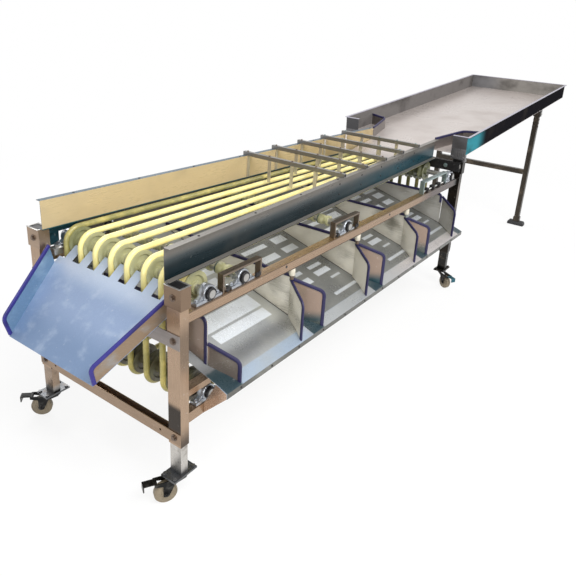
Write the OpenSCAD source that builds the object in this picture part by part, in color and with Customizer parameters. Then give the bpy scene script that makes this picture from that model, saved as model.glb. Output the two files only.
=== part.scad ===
// Belt fruit grading machine: eight diverging round belts over four side chutes, an end
// discharge chute and a sloped feed tray, on a tube frame with castors. Millimetres, +Z up.
// Drawn with X = 0 on the discharge legs, Y = 0 on the centre line and Z = 0 on the floor.

/* [Frame] */
// Distance between the leg rows along the machine
leg_pitch_x = 2450; // [2300:10:2700]
// Distance between the leg rows across the machine
leg_pitch_y = 760; // [752:2:800]
// Leg tube size along the machine
leg_d = 40; // [36:1:50]
// Leg tube size across the machine
leg_w = 60; // [52:1:66]
// Wall of the leg tubes
tube_wall = 3; // [2:0.5:4]
// Height of the lower end of the outer legs
leg_foot_z = 245; // [230:5:249]
// Height of the leg tops, on which the guards stand
deck_z = 866; // [862:1:880]
// Height of the sleeve round each leg top
bracket_h = 78; // [60:1:84]
// Wall of the sleeve round each leg top
bracket_wall = 8; // [5:0.5:12]
// Width of the rails across the machine
rail_w = 40; // [30:1:50]
// Height of the rails
rail_h = 40; // [30:1:44]
// Height of the upper rails' top face
rail_top_z = 760; // [752:1:768]
// Height of the lower rails' top face
low_rail_top_z = 362; // [354:1:368]
// Height of the low cross channels' lower edge
channel_z = 257; // [246:1:280]
// Height of the low cross channels
channel_h = 46; // [36:1:70]
// Depth of the low cross channels
channel_d = 30; // [22:1:40]

/* [Belts] */
// Number of belts
belt_count = 8; // [4:2:8]
// Diameter of the round belts
belt_dia = 24; // [18:1:24]
// Belt spacing at the discharge end
pitch_discharge = 89; // [86:1:94]
// Belt spacing at the infeed end
pitch_infeed = 61; // [56:1:61]
// Pitch radius of the belts on the pulleys
pitch_r = 60; // [54:0.5:60]
// Width of a pulley rim
pulley_w = 34; // [32:1:38]
// Diameter of the shafts
shaft_dia = 30; // [24:1:32]
// Radial clearance of a shaft in its bearing
bore_clear = 0.05; // [0.03:0.01:0.1]
// Distance of the end shafts from the discharge legs
shaft_x = 135; // [130:1:145]
// Distance of the infeed shafts from the infeed legs
infeed_gap = 140; // [138:1:200]
// Distance of the first idler shaft from the discharge legs
idler_a_x = 314; // [312:1:380]
// Distance of the second idler shaft from the discharge legs
idler_b_x = 1056; // [900:2:1060]
// Radius of the guide rollers on the idler shafts
idler_r = 24; // [20:1:30]

/* [Guards] */
// Height of the side guards
guard_h = 118; // [100:1:130]
// Half width between the guards at the discharge legs
guard_half = 331; // [329:1:334]
// Angle by which each guard closes in towards the infeed, in degrees
guard_angle = 2.58; // [2.3:0.01:2.6]
// Width of the guard flanges
flange_w = 26; // [20:1:30]
// Thickness of the sheet metal
sheet_t = 2; // [1.5:0.1:2.5]
// Number of crossbars over the belts
crossbar_count = 5; // [3:1:5]
// Distance of the first crossbar from the discharge legs
crossbar_x = 1148; // [1000:2:1200]
// Spacing of the crossbars
crossbar_pitch = 229; // [200:1:229]
// Side of the square crossbars
crossbar_s = 20; // [16:1:24]
// Width of the lane fingers
finger_w = 18; // [14:1:22]

/* [Discharge chute] */
// Distance of the chute mouth beyond the discharge legs
mouth_x = 238; // [220:1:240]
// Height of the chute floor at the mouth
mouth_z = 543; // [540:1:555]
// Half width of the chute at the mouth
mouth_half = 237; // [220:1:250]
// Half width of the chute at the legs
chute_half = 322; // [300:1:330]
// Slope of the chute floor, in degrees
chute_tilt = 35.75; // [35:0.25:36]
// Height of the chute walls, square to the floor
wall_h = 72; // [60:1:80]
// Width of the comb slots round the belts
slot_w = 44; // [40:1:50]
// Width of the edge trim
trim_w = 15; // [10:1:16]
// Thickness of the edge trim
trim_t = 8; // [6:0.5:9]

/* [Grade chutes] */
// Height of the outlet ledge's lower edge
ledge_z = 430; // [424:1:436]
// Height of the outlet ledge's front face
ledge_h = 22; // [16:1:26]
// Distance of the ledge front from the centre line
ledge_y = 511; // [500:1:520]
// Width of the lip strip
lip_w = 51; // [40:1:60]
// Rise of the lip strip
lip_rise = 18; // [12:1:22]
// Height of the chute floor at the far rail
floor_far_z = 700; // [690:1:704]
// Place of the first divider
divider_x = 645; // [600:5:660]
// Height of the divider tops
divider_z = 686; // [676:1:690]
// Half distance between two neighbouring outlet cheeks
cheek_gap = 82; // [60:1:90]
// Height of an outlet cheek's front edge above the ledge
cheek_h = 168; // [140:1:180]

/* [Feed tray] */
// Slope of the feed tray, in degrees
tray_tilt = 3.8; // [3:0.1:4]
// Length of the feed tray
tray_l = 2440; // [2300:10:2500]
// Width of the feed tray
tray_w = 866; // [860:2:900]
// Height of the tray walls
tray_h = 115; // [100:1:130]
// Height of the tray floor's underside at its front edge
tray_z = 914; // [910:1:924]
// Width of the tray's rim
rim_w = 14; // [8:1:18]
// Thickness of the tray's rim
rim_t = 3; // [2:0.5:5]
// Width of the front corner plates
corner_w = 95; // [80:1:110]
// Distance of the support hinge from the tray's front edge
hinge_x = 1745; // [1500:5:1800]
// Side of the support's square tubes
support_s = 40; // [30:1:40]
// Height of the support's crossbar
support_bar_z = 465; // [400:5:600]
// Length of a support foot
foot_l = 140; // [100:2:160]
// Height of a support foot
foot_h = 36; // [24:1:44]

/* [Castors] */
// Diameter of the castor wheels
wheel_dia = 86; // [80:1:90]
// Width of the castor wheels
wheel_w = 30; // [24:1:34]
// Height of the castor plates
castor_z = 122; // [120:1:128]
// Distance of a wheel axle behind its swivel axis
castor_trail = 52; // [48:1:56]

/* [Drive] */
// Diameter of the drive motor
motor_dia = 108; // [90:2:112]
// Length of the drive motor
motor_l = 240; // [180:5:300]

/* [Hidden] */
$fn = 40;

// One overrun for all cuts
over = 1;
half_y = leg_pitch_y / 2;
sides = [-1, 1];
guard_end_gap = 28;
guard_end_x = leg_pitch_x - leg_d / 2 - guard_end_gap;
guard_start = 12;
infeed_x = leg_pitch_x - infeed_gap;

// Frame details
angle_h = 55;
beam_h = 60;
beam_d = 40;
stub_l = 120;
stub_h = 25;
stub_z = 432;
gusset_t = 3;

// Shaft heights follow the pillow blocks that stand on the rails
bearing_h = 32;
bearing_r = 31;
bearing_w = 34;
bearing_l = 130;
bearing_base = 14;
insert_r = 24;
insert_w = 38;
insert_out = 2;
shaft_z = rail_top_z + bearing_h;
low_shaft_z = low_rail_top_z + bearing_h;
shaft_r = shaft_dia / 2;
shaft_over = 12;
top_shafts = [shaft_x, idler_a_x, idler_b_x, infeed_x];
low_shafts = [shaft_x, infeed_x];

// Pulley profile
belt_r = belt_dia / 2;
run_gap = 0.7;
hub_r = 24;
hub_w = 50;
web_w = 22;
web_r = 40;
rim_r = 45;
groove_steps = 12;

// Adjuster frames
frame_l = 218;
frame_bar = 8;
frame_w = 26;
frame_room = 3;
screw_r = 5;
take_up_l = 335;
take_up_x = infeed_x - bearing_l / 2 - frame_room - take_up_l;

// Discharge chute details
slide_clear = 0.5;
chute_top_x = 100;
slot_x = 46;
chute_run = mouth_x + leg_d / 2;
slope_l = chute_run / cos(chute_tilt);
edge_turn = atan2(chute_half - mouth_half, slope_l);
edge_l = slope_l / cos(edge_turn);
wall_cut = 30;
wall_lap = 36;

// Grade chute details
floor_lead = 32;
floor_tail = 24;
floor_x0 = shaft_x - floor_lead;
floor_x1 = infeed_x + floor_tail;
end_wall_lead = 43;
end_wall_x0 = floor_x0 + end_wall_lead;
end_wall_tail = 42;
end_wall_x1 = infeed_x - end_wall_tail;
divider_count = 3;
divider_pitch = (end_wall_x1 - divider_x) / divider_count;
divider_xs = [for (i = [0:divider_count - 1]) divider_x + i * divider_pitch];
chute_back_y = half_y - rail_w / 2;
hang_flange = 44;
divider_front = 16;
cheek_y0 = chute_back_y + divider_front;
cheek_part = 3;
cheek_back = 6;
cheek_end_y = ledge_y - cheek_back;
low_cheek_h = 90;
divider_far_rise = 40;
spacer_r = 9;

// Feed tray details
tongue_end_x = crossbar_x + (crossbar_count - 1) * crossbar_pitch + crossbar_s;
tongue_clear = 3;
gate_h = 78;
gate_gap = 6;
gate_bend_x = 305;
gate_bend_y = 290;
gate_end_x = 362;
pivot_drop = 34;
pin_r = 6;
lug_t = 8;
lug_w = 44;
lug_gap = 1;
support_y = tray_w / 2 - lug_t - lug_gap - support_s / 2;

// Spare holes of the channels
spare_y = half_y - leg_w - channel_d / 3;

// Castor details
inner_w = leg_w - 2 * tube_wall - 2 * slide_clear;
inner_d = leg_d - 2 * tube_wall - 2 * slide_clear;
inner_l = 320;
plate_x = 112;
plate_y = 70;
plate_t = 8;
plate_edge = 10;
king_r = 6;
king_l = 14;
head_r = 26;
head_gap = 0.5;
fork_t = 3;
fork_gap = 1.5;
axle_r = 5;
wheel_r = wheel_dia / 2;
pedal_r = 6;
pedal_pin_r = 3;
pedal_x = 88;
pedal_z = 92;
pedal_l = 40;
pedal_lip = 26;
pedal_t = 4;
castors = [[0, -half_y, -30], [0, half_y, -45], [leg_pitch_x, -half_y, 60], [leg_pitch_x, half_y, 180]];

// Bolts
bolt_r = 8;
bolt_h = 6;
washer_r = 13;
washer_t = 2;
small_bolt_r = 5;
small_bolt_h = 5;

// Extents, so that the part's origin is the centre of its footprint
x_min = -mouth_x + (wall_cut * cos(edge_turn) - (trim_t - sheet_t) / 2 * sin(edge_turn)) * cos(chute_tilt)
        - wall_h * sin(chute_tilt);
tray_x = guard_end_x + tongue_clear;
rim_reach = (tray_l + rim_w) * cos(tray_tilt) - (tray_h - rim_t) * sin(tray_tilt);
x_max = tray_x + max(tray_l * cos(tray_tilt), rim_reach);
y_min = -ledge_y;
y_max = max(tray_w / 2 + rim_w, support_y + foot_l / 2);

// Colours
steel = [0.74, 0.66, 0.58];
bright = [0.80, 0.81, 0.82];
grey = [0.52, 0.50, 0.48];
zinc = [0.62, 0.62, 0.63];
dark = [0.12, 0.12, 0.13];
indigo = [0.22, 0.18, 0.47];
blue_sheet = [0.63, 0.71, 0.84];
belt_yellow = [0.90, 0.83, 0.52];
cream = [0.86, 0.82, 0.66];
tan_tyre = [0.62, 0.52, 0.42];
lavender = [0.72, 0.70, 0.80];
paint_grey = [0.40, 0.44, 0.48];

// Shared shapes

module placed() {
    translate([-(x_min + x_max) / 2, -(y_min + y_max) / 2, 0]) children();
}

// A box from its lowest corner and its highest corner
module block(low, high) {
    translate(low) cube(high - low);
}

// A plate from an outline in Y and Z, from x along +X
module yz_plate(points, x, t) {
    translate([x, 0, 0]) rotate([90, 0, 90]) linear_extrude(t) polygon(points);
}

// A plate from an outline in X and Z, from y along +Y
module xz_plate(points, y, t) {
    translate([0, y + t, 0]) rotate([90, 0, 0]) linear_extrude(t) polygon(points);
}

// A round bar along Y
module rod_y(x, z, y0, y1, r) {
    translate([x, y0, z]) rotate([-90, 0, 0]) cylinder(h = y1 - y0, r = r);
}

// A round bar along X
module rod_x(x0, x1, y, z, r) {
    translate([x0, y, z]) rotate([0, 90, 0]) cylinder(h = x1 - x0, r = r);
}

// Everything in both halves of the machine
module both_sides() {
    children();
    mirror([0, 1, 0]) children();
}

// Place at every leg
module at_legs() {
    for (x = [0, leg_pitch_x], y = sides) translate([x, y * half_y, 0]) children();
}

// Spread of the belts along the machine, from the middle of one wrap to the middle of the other
wrap_x0 = shaft_x - pitch_r / 2;
wrap_x1 = infeed_x + pitch_r / 2;
function belt_pitch(x) =
    pitch_discharge + (pitch_infeed - pitch_discharge) * (x - wrap_x0) / (wrap_x1 - wrap_x0);
function belt_side(i) = i - (belt_count - 1) / 2;
function guard_y(x) = guard_half - x * tan(guard_angle);

// Frame

module outer_legs() {
    color(steel) placed() at_legs() difference() {
        block([-leg_d / 2, -leg_w / 2, leg_foot_z], [leg_d / 2, leg_w / 2, deck_z - tube_wall]);
        block([tube_wall - leg_d / 2, tube_wall - leg_w / 2, leg_foot_z - over],
              [leg_d / 2 - tube_wall, leg_w / 2 - tube_wall, deck_z]);
    }
}

module leg_brackets() {
    color(steel) placed() at_legs() difference() {
        block([-leg_d / 2 - tube_wall, -leg_w / 2 - bracket_wall, deck_z - bracket_h],
              [leg_d / 2 + tube_wall, leg_w / 2 + bracket_wall, deck_z]);
        block([-leg_d / 2, -leg_w / 2, deck_z - bracket_h - over],
              [leg_d / 2, leg_w / 2, deck_z - tube_wall]);
    }
}

// A box tube along X from its outer corners
module tube_x(low, high) {
    wall = [-over, tube_wall, tube_wall];
    difference() {
        block(low, high);
        block(low + wall, high - wall);
    }
}

// A box tube along Y from its outer corners
module tube_y(low, high) {
    wall = [tube_wall, -over, tube_wall];
    difference() {
        block(low, high);
        block(low + wall, high - wall);
    }
}

module rail(top_z, y) {
    tube_x([leg_d / 2, y - rail_w / 2, top_z - rail_h],
           [leg_pitch_x - leg_d / 2, y + rail_w / 2, top_z]);
}

module upper_rails() {
    color(steel) placed() for (y = sides) rail(rail_top_z, y * half_y);
}

// Lower rails, the stub bars over the return bearings and the gussets under the ledge
module lower_rails() {
    color(steel) placed() {
        for (y = sides) rail(low_rail_top_z, y * half_y);
        for (y = sides) block([leg_d / 2, y * half_y - rail_w / 2, stub_z],
                              [leg_d / 2 + stub_l, y * half_y + rail_w / 2, stub_z + stub_h]);
        for (x = concat([floor_x0], divider_xs, [floor_x1 - gusset_t]))
            yz_plate([[-half_y - rail_w / 2, low_rail_top_z - rail_h], [-half_y - rail_w / 2, low_rail_top_z],
                      [-ledge_y + lip_w, lip_z - sheet_t], [-ledge_y + sheet_t, ledge_z + ledge_h - sheet_t],
                      [-ledge_y + sheet_t, ledge_z]], x, gusset_t);
    }
}

// Channels across the two ends, open at the top, with the outer flange lapped over the legs
module end_channels() {
    face = -leg_d / 2 - tube_wall;
    back = face + channel_d;
    inside = half_y - leg_w / 2;
    color(steel) placed() for (end = [0, 1]) translate([end * leg_pitch_x, 0, 0]) mirror([end, 0, 0]) {
        difference() {
            block([face, -half_y - leg_w / 2, channel_z],
                  [-leg_d / 2, half_y + leg_w / 2, channel_z + channel_h]);
            for (y = sides)
                rod_x(face - over, -leg_d / 2 + over, y * spare_y, channel_z + channel_h / 2, small_bolt_r);
        }
        block([-leg_d / 2, -inside, channel_z], [back, inside, channel_z + tube_wall]);
        block([back - tube_wall, -inside, channel_z], [back, inside, channel_z + channel_h]);
    }
}

// Angle across the discharge legs that carries the end chute
function angle_top() = chute_floor_z(-leg_d / 2 - tube_wall) - sheet_t / cos(chute_tilt);

module cross_angle() {
    color(steel) placed() block([-leg_d / 2 - tube_wall, -half_y - leg_w / 2, angle_top() - angle_h],
                                [-leg_d / 2, half_y + leg_w / 2, angle_top()]);
}

module infeed_beam() {
    color(steel) placed() tube_y([leg_pitch_x - leg_d / 2 - beam_d, -half_y - leg_w / 2, deck_z - beam_h],
                                 [leg_pitch_x - leg_d / 2 - tube_wall, half_y + leg_w / 2, deck_z]);
}

// Guards and lane bars

module on_guard() {
    both_sides() translate([0, guard_half, 0]) rotate([0, 0, -guard_angle]) children();
}

module side_guards() {
    length = (guard_end_x + guard_start) / cos(guard_angle);
    color(grey) placed() on_guard() {
        yz_plate([[0, deck_z], [flange_w, deck_z], [flange_w, deck_z + sheet_t], [sheet_t, deck_z + sheet_t],
                  [sheet_t, deck_z + guard_h - sheet_t], [flange_w, deck_z + guard_h - sheet_t],
                  [flange_w, deck_z + guard_h], [0, deck_z + guard_h]], -guard_start, length);
    }
}

function crossbar_at(i) = crossbar_x + i * crossbar_pitch;

module crossbars() {
    color(zinc) placed() for (i = [0:crossbar_count - 1]) {
        reach = guard_y(crossbar_at(i)) + flange_w;
        tube_y([crossbar_at(i) - crossbar_s / 2, -reach, deck_z + guard_h],
               [crossbar_at(i) + crossbar_s / 2, reach, deck_z + guard_h + crossbar_s]);
    }
}

// Flat bars that part the lanes, three between the guards and one on each guard
finger_t = 5;
finger_gap = 6;
lane_shares = [-0.5, 0, 0.5];

module lane_fingers() {
    low_z = shaft_z + pitch_r + belt_r + finger_gap;
    color(zinc) placed() {
        for (i = [0:crossbar_count - 1], share = lane_shares)
            translate([crossbar_at(i), share * guard_y(crossbar_at(i)), 0])
                block([-finger_t / 2, -finger_w / 2, low_z], [finger_t / 2, finger_w / 2, deck_z + guard_h]);
        on_guard() for (i = [0:crossbar_count - 1])
            translate([crossbar_at(i) / cos(guard_angle), 0, 0])
                block([-finger_w / 2, -finger_t, low_z], [finger_w / 2, 0, deck_z + guard_h]);
    }
}

// Belts

// Each belt runs in one upright plane that turns a little from the machine's length
module in_belt_plane(i) {
    translate([shaft_x, belt_side(i) * belt_pitch(shaft_x), 0]) rotate([0, 0, belt_yaw(i)]) children();
}

function belt_yaw(i) = atan2(belt_side(i) * (pitch_infeed - pitch_discharge), wrap_x1 - wrap_x0);
function belt_span(i) = (infeed_x - shaft_x) / cos(belt_yaw(i));

module belt_runs() {
    color(belt_yellow) placed() for (i = [0:belt_count - 1]) in_belt_plane(i) {
        rod_x(0, belt_span(i), 0, shaft_z + pitch_r, belt_r);
        rod_x(0, belt_span(i), 0, low_shaft_z - pitch_r, belt_r);
        for (x = [-pitch_r, belt_span(i) + pitch_r])
            translate([x, 0, low_shaft_z]) cylinder(h = shaft_z - low_shaft_z, r = belt_r);
    }
}

module belt_bend(x, z, start) {
    translate([x, 0, z]) rotate([90, 0, 0]) rotate([0, 0, start])
        rotate_extrude(angle = 90) translate([pitch_r, 0]) circle(belt_r);
}

module belt_bends() {
    color(belt_yellow) placed() for (i = [0:belt_count - 1]) in_belt_plane(i) {
        belt_bend(0, shaft_z, 90);
        belt_bend(0, low_shaft_z, 180);
        belt_bend(belt_span(i), low_shaft_z, 270);
        belt_bend(belt_span(i), shaft_z, 0);
    }
}

// Shafts, pulleys and bearings

module shaft(x, z) {
    rod_y(x, z, -half_y - bearing_w / 2 - shaft_over, half_y + bearing_w / 2 + shaft_over, shaft_r);
}

// A groove is wider for the belts that stand at more of an angle
wrap_slip = (pitch_discharge - pitch_infeed) / (wrap_x1 - wrap_x0) * pitch_r / 2;
function groove_size(i) = belt_r + run_gap + abs(belt_side(i)) * wrap_slip;

// A grooved pulley about its own Y axis
module pulley(groove_r) {
    groove = [for (k = [0:groove_steps]) let (a = -90 + 180 * k / groove_steps)
        [pitch_r - groove_r * cos(a), groove_r * sin(a)]];
    rotate([-90, 0, 0]) rotate_extrude() polygon(concat(
        [[shaft_r, -hub_w / 2], [hub_r, -hub_w / 2], [hub_r, -web_w / 2], [web_r, -web_w / 2],
         [rim_r, -pulley_w / 2], [pitch_r, -pulley_w / 2]],
        groove,
        [[pitch_r, pulley_w / 2], [rim_r, pulley_w / 2], [web_r, web_w / 2], [hub_r, web_w / 2],
         [hub_r, hub_w / 2], [shaft_r, hub_w / 2]]));
}

// A row of pulleys, spread as the belts are at wrap_x
module pulleys(x, z, wrap_x) {
    for (i = [0:belt_count - 1]) translate([x, belt_side(i) * belt_pitch(wrap_x), z]) pulley(groove_size(i));
}

// Spools under the belts that catch them where they sag
module guide_rollers(x) {
    for (i = [0:belt_count - 1])
        translate([x, belt_side(i) * belt_pitch(x), shaft_z]) rotate([-90, 0, 0]) rotate_extrude() polygon([
            [shaft_r, -hub_w / 2], [idler_r, -hub_w / 2], [idler_r, -hub_w / 4], [(idler_r + shaft_r) / 2, 0],
            [idler_r, hub_w / 4], [idler_r, hub_w / 2], [shaft_r, hub_w / 2]]);
}

module discharge_shaft() { color(zinc) placed() shaft(shaft_x, shaft_z); }
module discharge_pulleys() { color(cream) placed() pulleys(shaft_x, shaft_z, wrap_x0); }
module return_shaft() { color(zinc) placed() shaft(shaft_x, low_shaft_z); }
module return_pulleys() { color(cream) placed() pulleys(shaft_x, low_shaft_z, wrap_x0); }
module idler_shaft_a() { color(zinc) placed() shaft(idler_a_x, shaft_z); }
module idler_pulleys_a() { color(cream) placed() guide_rollers(idler_a_x); }
module idler_shaft_b() { color(zinc) placed() shaft(idler_b_x, shaft_z); }
module idler_pulleys_b() { color(cream) placed() guide_rollers(idler_b_x); }
module infeed_shaft() { color(zinc) placed() shaft(infeed_x, shaft_z); }
module infeed_pulleys() { color(cream) placed() pulleys(infeed_x, shaft_z, wrap_x1); }
module drive_shaft() { color(zinc) placed() shaft(infeed_x, low_shaft_z); }
module drive_pulleys() { color(cream) placed() pulleys(infeed_x, low_shaft_z, wrap_x1); }

// Places of all pillow blocks
module at_bearings() {
    for (x = top_shafts, y = sides) translate([x, y * half_y, shaft_z]) children();
    for (x = low_shafts, y = sides) translate([x, y * half_y, low_shaft_z]) children();
}

module bearing_housings() {
    color(zinc) placed() at_bearings() difference() {
        union() {
            rod_y(0, 0, -bearing_w / 2, bearing_w / 2, bearing_r);
            block([-bearing_l / 2, -bearing_w / 2, -bearing_h],
                  [bearing_l / 2, bearing_w / 2, bearing_base - bearing_h]);
        }
        rod_y(0, 0, -bearing_w / 2 - over, bearing_w / 2 + over, insert_r);
    }
}

module bearing_inserts() {
    color(dark) placed() at_bearings() difference() {
        rod_y(0, 0, -bearing_w / 2 - insert_out, bearing_w / 2 + insert_out, insert_r);
        rod_y(0, 0, -insert_w, insert_w, shaft_r + bore_clear);
    }
}

// Inverted frames over the idler bearings and, beside the infeed bearings, the longer take-up frames
module adjuster_frame(x, length) {
    top = rail_top_z + bearing_h + bearing_r + frame_room;
    for (end = [0, 1]) block([x + end * (length - frame_bar), -frame_w / 2, rail_top_z],
                             [x + end * (length - frame_bar) + frame_bar, frame_w / 2, top]);
    block([x, -frame_w / 2, top], [x + length, frame_w / 2, top + frame_bar]);
}

module adjuster_frames() {
    color(steel) placed() for (y = sides) translate([0, y * half_y, 0]) {
        adjuster_frame(idler_a_x - frame_l / 2, frame_l);
        adjuster_frame(idler_b_x - frame_l / 2, frame_l);
        difference() {
            adjuster_frame(take_up_x, take_up_l);
            block([take_up_x + take_up_l - frame_bar - over, -screw_r - frame_room, rail_top_z - over],
                  [take_up_x + take_up_l + over, screw_r + frame_room, rail_top_z + bearing_base]);
        }
    }
}

// Threaded rods that push the sliding bearings along
module adjuster_screws() {
    z = rail_top_z + bearing_base / 2;
    for (y = sides) {
        rod_x(take_up_x + frame_bar, infeed_x - bearing_l / 2, y * half_y, z, screw_r);
        for (x = [idler_a_x, idler_b_x])
            rod_x(x - frame_l / 2 + frame_bar, x - bearing_l / 2, y * half_y, z, screw_r);
    }
}

// Discharge chute

function chute_floor_z(x) = mouth_z + (x + mouth_x) * tan(chute_tilt);

module in_chute_slope() {
    translate([-mouth_x, 0, mouth_z]) rotate([0, -chute_tilt, 0]) children();
}

module discharge_floor() {
    top_s = (mouth_x + chute_top_x) / cos(chute_tilt);
    slot_s = (mouth_x + slot_x) / cos(chute_tilt);
    color(blue_sheet) placed() in_chute_slope() difference() {
        translate([0, 0, -sheet_t]) linear_extrude(sheet_t) polygon([
            [0, -mouth_half], [slope_l, -chute_half], [top_s, -chute_half],
            [top_s, chute_half], [slope_l, chute_half], [0, mouth_half]]);
        for (i = [0:belt_count - 1])
            block([slot_s, belt_side(i) * pitch_discharge - slot_w / 2, -sheet_t - over],
                  [top_s + over, belt_side(i) * pitch_discharge + slot_w / 2, over]);
    }
}

// Plane of a chute wall, square to the floor, with its local X along the floor's edge from the mouth
module in_chute_wall() {
    in_chute_slope() both_sides() translate([0, mouth_half, 0]) rotate([0, 0, edge_turn]) children();
}

// Inner line of the wall's trim, along the slanted mouth edge and the top
trim_foot = trim_w / sin(atan2(wall_h, wall_cut));
trim_corner = [trim_foot + (wall_h - trim_w) * wall_cut / wall_h, wall_h - trim_w];
trim_end = [edge_l + wall_lap * (wall_h - trim_w) / wall_h, wall_h - trim_w];

module discharge_walls() {
    color(steel) placed() in_chute_wall() xz_plate([[trim_foot, 0], [edge_l, 0], trim_end, trim_corner],
                                                   -sheet_t, sheet_t);
}

module discharge_trim() {
    in_chute_wall() xz_plate([[0, 0], [trim_foot, 0], trim_corner, trim_end, [edge_l + wall_lap, wall_h],
                              [wall_cut, wall_h]], -sheet_t / 2 - trim_t / 2, trim_t);
}

// Grade chutes

lip_y = ledge_y - lip_w;
lip_z = ledge_z + ledge_h + lip_rise;
floor_slope = (floor_far_z - lip_z) / (chute_back_y - sheet_t + lip_y);
function floor_z(y) = lip_z + (y + lip_y) * floor_slope;

// Sloped floor that hangs on the far rail, with its lip strip and the ledge's front face
module chute_floor() {
    back = chute_back_y - sheet_t;
    front_z = ledge_z + ledge_h;
    color(bright) placed() yz_plate([
        [-ledge_y, ledge_z], [-ledge_y, front_z], [-lip_y, lip_z], [back, floor_far_z],
        [back, floor_far_z + hang_flange], [chute_back_y, floor_far_z + hang_flange],
        [chute_back_y, floor_far_z - sheet_t], [-lip_y, lip_z - sheet_t],
        [-ledge_y + sheet_t, front_z - sheet_t], [-ledge_y + sheet_t, ledge_z]],
        floor_x0, floor_x1 - floor_x0);
}

end_wall_share = 0.5;

module divider_plate(x, far_y, far_rise) {
    yz_plate([[-cheek_y0, floor_z(-cheek_y0)], [far_y, floor_z(far_y)],
              [far_y, divider_z + far_rise - trim_w], [0, divider_z - trim_w],
              [-cheek_y0, divider_z - trim_w]], x - sheet_t / 2, sheet_t);
}

module chute_dividers() {
    color(bright) placed() {
        for (x = divider_xs) divider_plate(x, chute_back_y - sheet_t, divider_far_rise);
        for (x = [end_wall_x0, end_wall_x1]) divider_plate(x, end_wall_share * chute_back_y, 0);
    }
}

// Upright plane of an outlet cheek, from a divider's front edge to the ledge
cheek_run = cheek_end_y - cheek_y0 - cheek_part;

module in_cheek(x, shift) {
    turn = atan2(-cheek_run, shift);
    translate([x, -cheek_y0 - cheek_part, 0]) rotate([0, 0, turn]) children();
}

// Outline of a cheek, less a margin for its trim
module cheek_plate(x, shift, top0, top1, t, trim) {
    length = norm([cheek_run, shift]);
    lean = t / 2 * abs(shift) / length;
    kink = length * (lip_y - cheek_y0 - cheek_part + lean) / cheek_run;
    foot_y = lean - cheek_end_y;
    inner = [[0, floor_z(lean - cheek_y0 - cheek_part)], [kink, lip_z],
             [length - trim_w, ledge_foot_z(foot_y + trim_w * cheek_run / length)],
             [length - trim_w, top1 - trim_w], [0, top0 - trim_w]];
    edge = [[0, top0 - trim_w], [length - trim_w, top1 - trim_w],
            [length - trim_w, ledge_foot_z(foot_y + trim_w * cheek_run / length)],
            [length, ledge_foot_z(foot_y)], [length, top1], [0, top0]];
    in_cheek(x, shift) xz_plate(trim ? edge : inner, -t / 2, t);
}

function ledge_foot_z(y) = lip_z + lip_rise * (y + lip_y) / lip_w;
function floor_end_z() = ledge_foot_z(-cheek_end_y);

module all_cheeks(t, trim) {
    front = floor_end_z();
    for (x = divider_xs, way = sides) cheek_shape(x, way * cheek_gap, way, t, trim);
    cheek_plate(end_wall_x1, -cheek_gap, divider_z - trim_w, front + cheek_h, t, trim);
    cheek_plate(end_wall_x0, cheek_gap / 2, front + low_cheek_h + low_cheek_h / 2, front + low_cheek_h,
                t, trim);
}

// The two cheeks of a divider part on either side of its front edge
module cheek_shape(x, shift, way, t, trim) {
    cheek_plate(x + way * (trim_t + sheet_t) / 2, shift - way * (trim_t + sheet_t) / 2,
                divider_z - trim_w, floor_end_z() + cheek_h, t, trim);
}

module chute_cheeks() {
    color(bright) placed() all_cheeks(sheet_t, false);
}

module divider_trim(x, far_y, far_rise) {
    yz_plate([[far_y, divider_z + far_rise - trim_w], [0, divider_z - trim_w],
              [-cheek_y0, divider_z - trim_w], [-cheek_y0, divider_z], [0, divider_z],
              [far_y, divider_z + far_rise]], x - trim_t / 2, trim_t);
}

// Edging on the chute walls, dividers, cheeks and gates
module edge_trim() {
    color(indigo) placed() {
        discharge_trim();
        for (x = divider_xs) divider_trim(x, chute_back_y - sheet_t, divider_far_rise);
        for (x = [end_wall_x0, end_wall_x1]) divider_trim(x, end_wall_share * chute_back_y, 0);
        all_cheeks(trim_t, true);
        gate_plates(trim_t, gate_h - trim_w, gate_h);
    }
}

// Round spacers that hold the divider fronts to the near rail
module divider_spacers() {
    for (x = divider_xs)
        translate([x - trim_t / 2 - slide_clear - spacer_r, spacer_r - half_y - rail_w / 2,
                   divider_z - trim_w])
            cylinder(h = rail_top_z - rail_h - divider_z + trim_w, r = spacer_r);
}

// Feed tray

module in_tray() {
    translate([tray_x, 0, tray_z]) rotate([0, -tray_tilt, 0]) children();
}

module tray_floor() {
    color(cream) placed() in_tray() block([0, -tray_w / 2, 0], [tray_l, tray_w / 2, sheet_t]);
}

module tray_walls() {
    color(grey) placed() in_tray() {
        both_sides() {
            block([0, tray_w / 2 - sheet_t, sheet_t], [tray_l, tray_w / 2, tray_h - rim_t]);
            block([0, tray_w / 2 - corner_w, sheet_t], [sheet_t, tray_w / 2, tray_h - rim_t]);
        }
        block([tray_l - sheet_t, -tray_w / 2, sheet_t], [tray_l, tray_w / 2, tray_h - rim_t]);
    }
}

module tray_rim() {
    color(lavender) placed() in_tray() {
        both_sides() {
            block([0, tray_w / 2 - sheet_t, tray_h - rim_t], [tray_l + rim_w, tray_w / 2 + rim_w, tray_h]);
            block([0, tray_w / 2 - corner_w, tray_h - rim_t], [rim_w, tray_w / 2, tray_h]);
        }
        block([tray_l - sheet_t, -tray_w / 2, tray_h - rim_t], [tray_l + rim_w, tray_w / 2, tray_h]);
    }
}

// Slide from the tray down onto the belts
module feed_tongue() {
    low_z = shaft_z + pitch_r + belt_r + finger_gap;
    half = guard_y(guard_end_x) - tongue_clear;
    end_x = tray_x - sheet_t * sin(tray_tilt);
    color(bright) placed() xz_plate([[tongue_end_x, low_z], [end_x, tray_z], [end_x, tray_z + sheet_t],
                                     [tongue_end_x, low_z + sheet_t]], -half, 2 * half);
}

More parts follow.
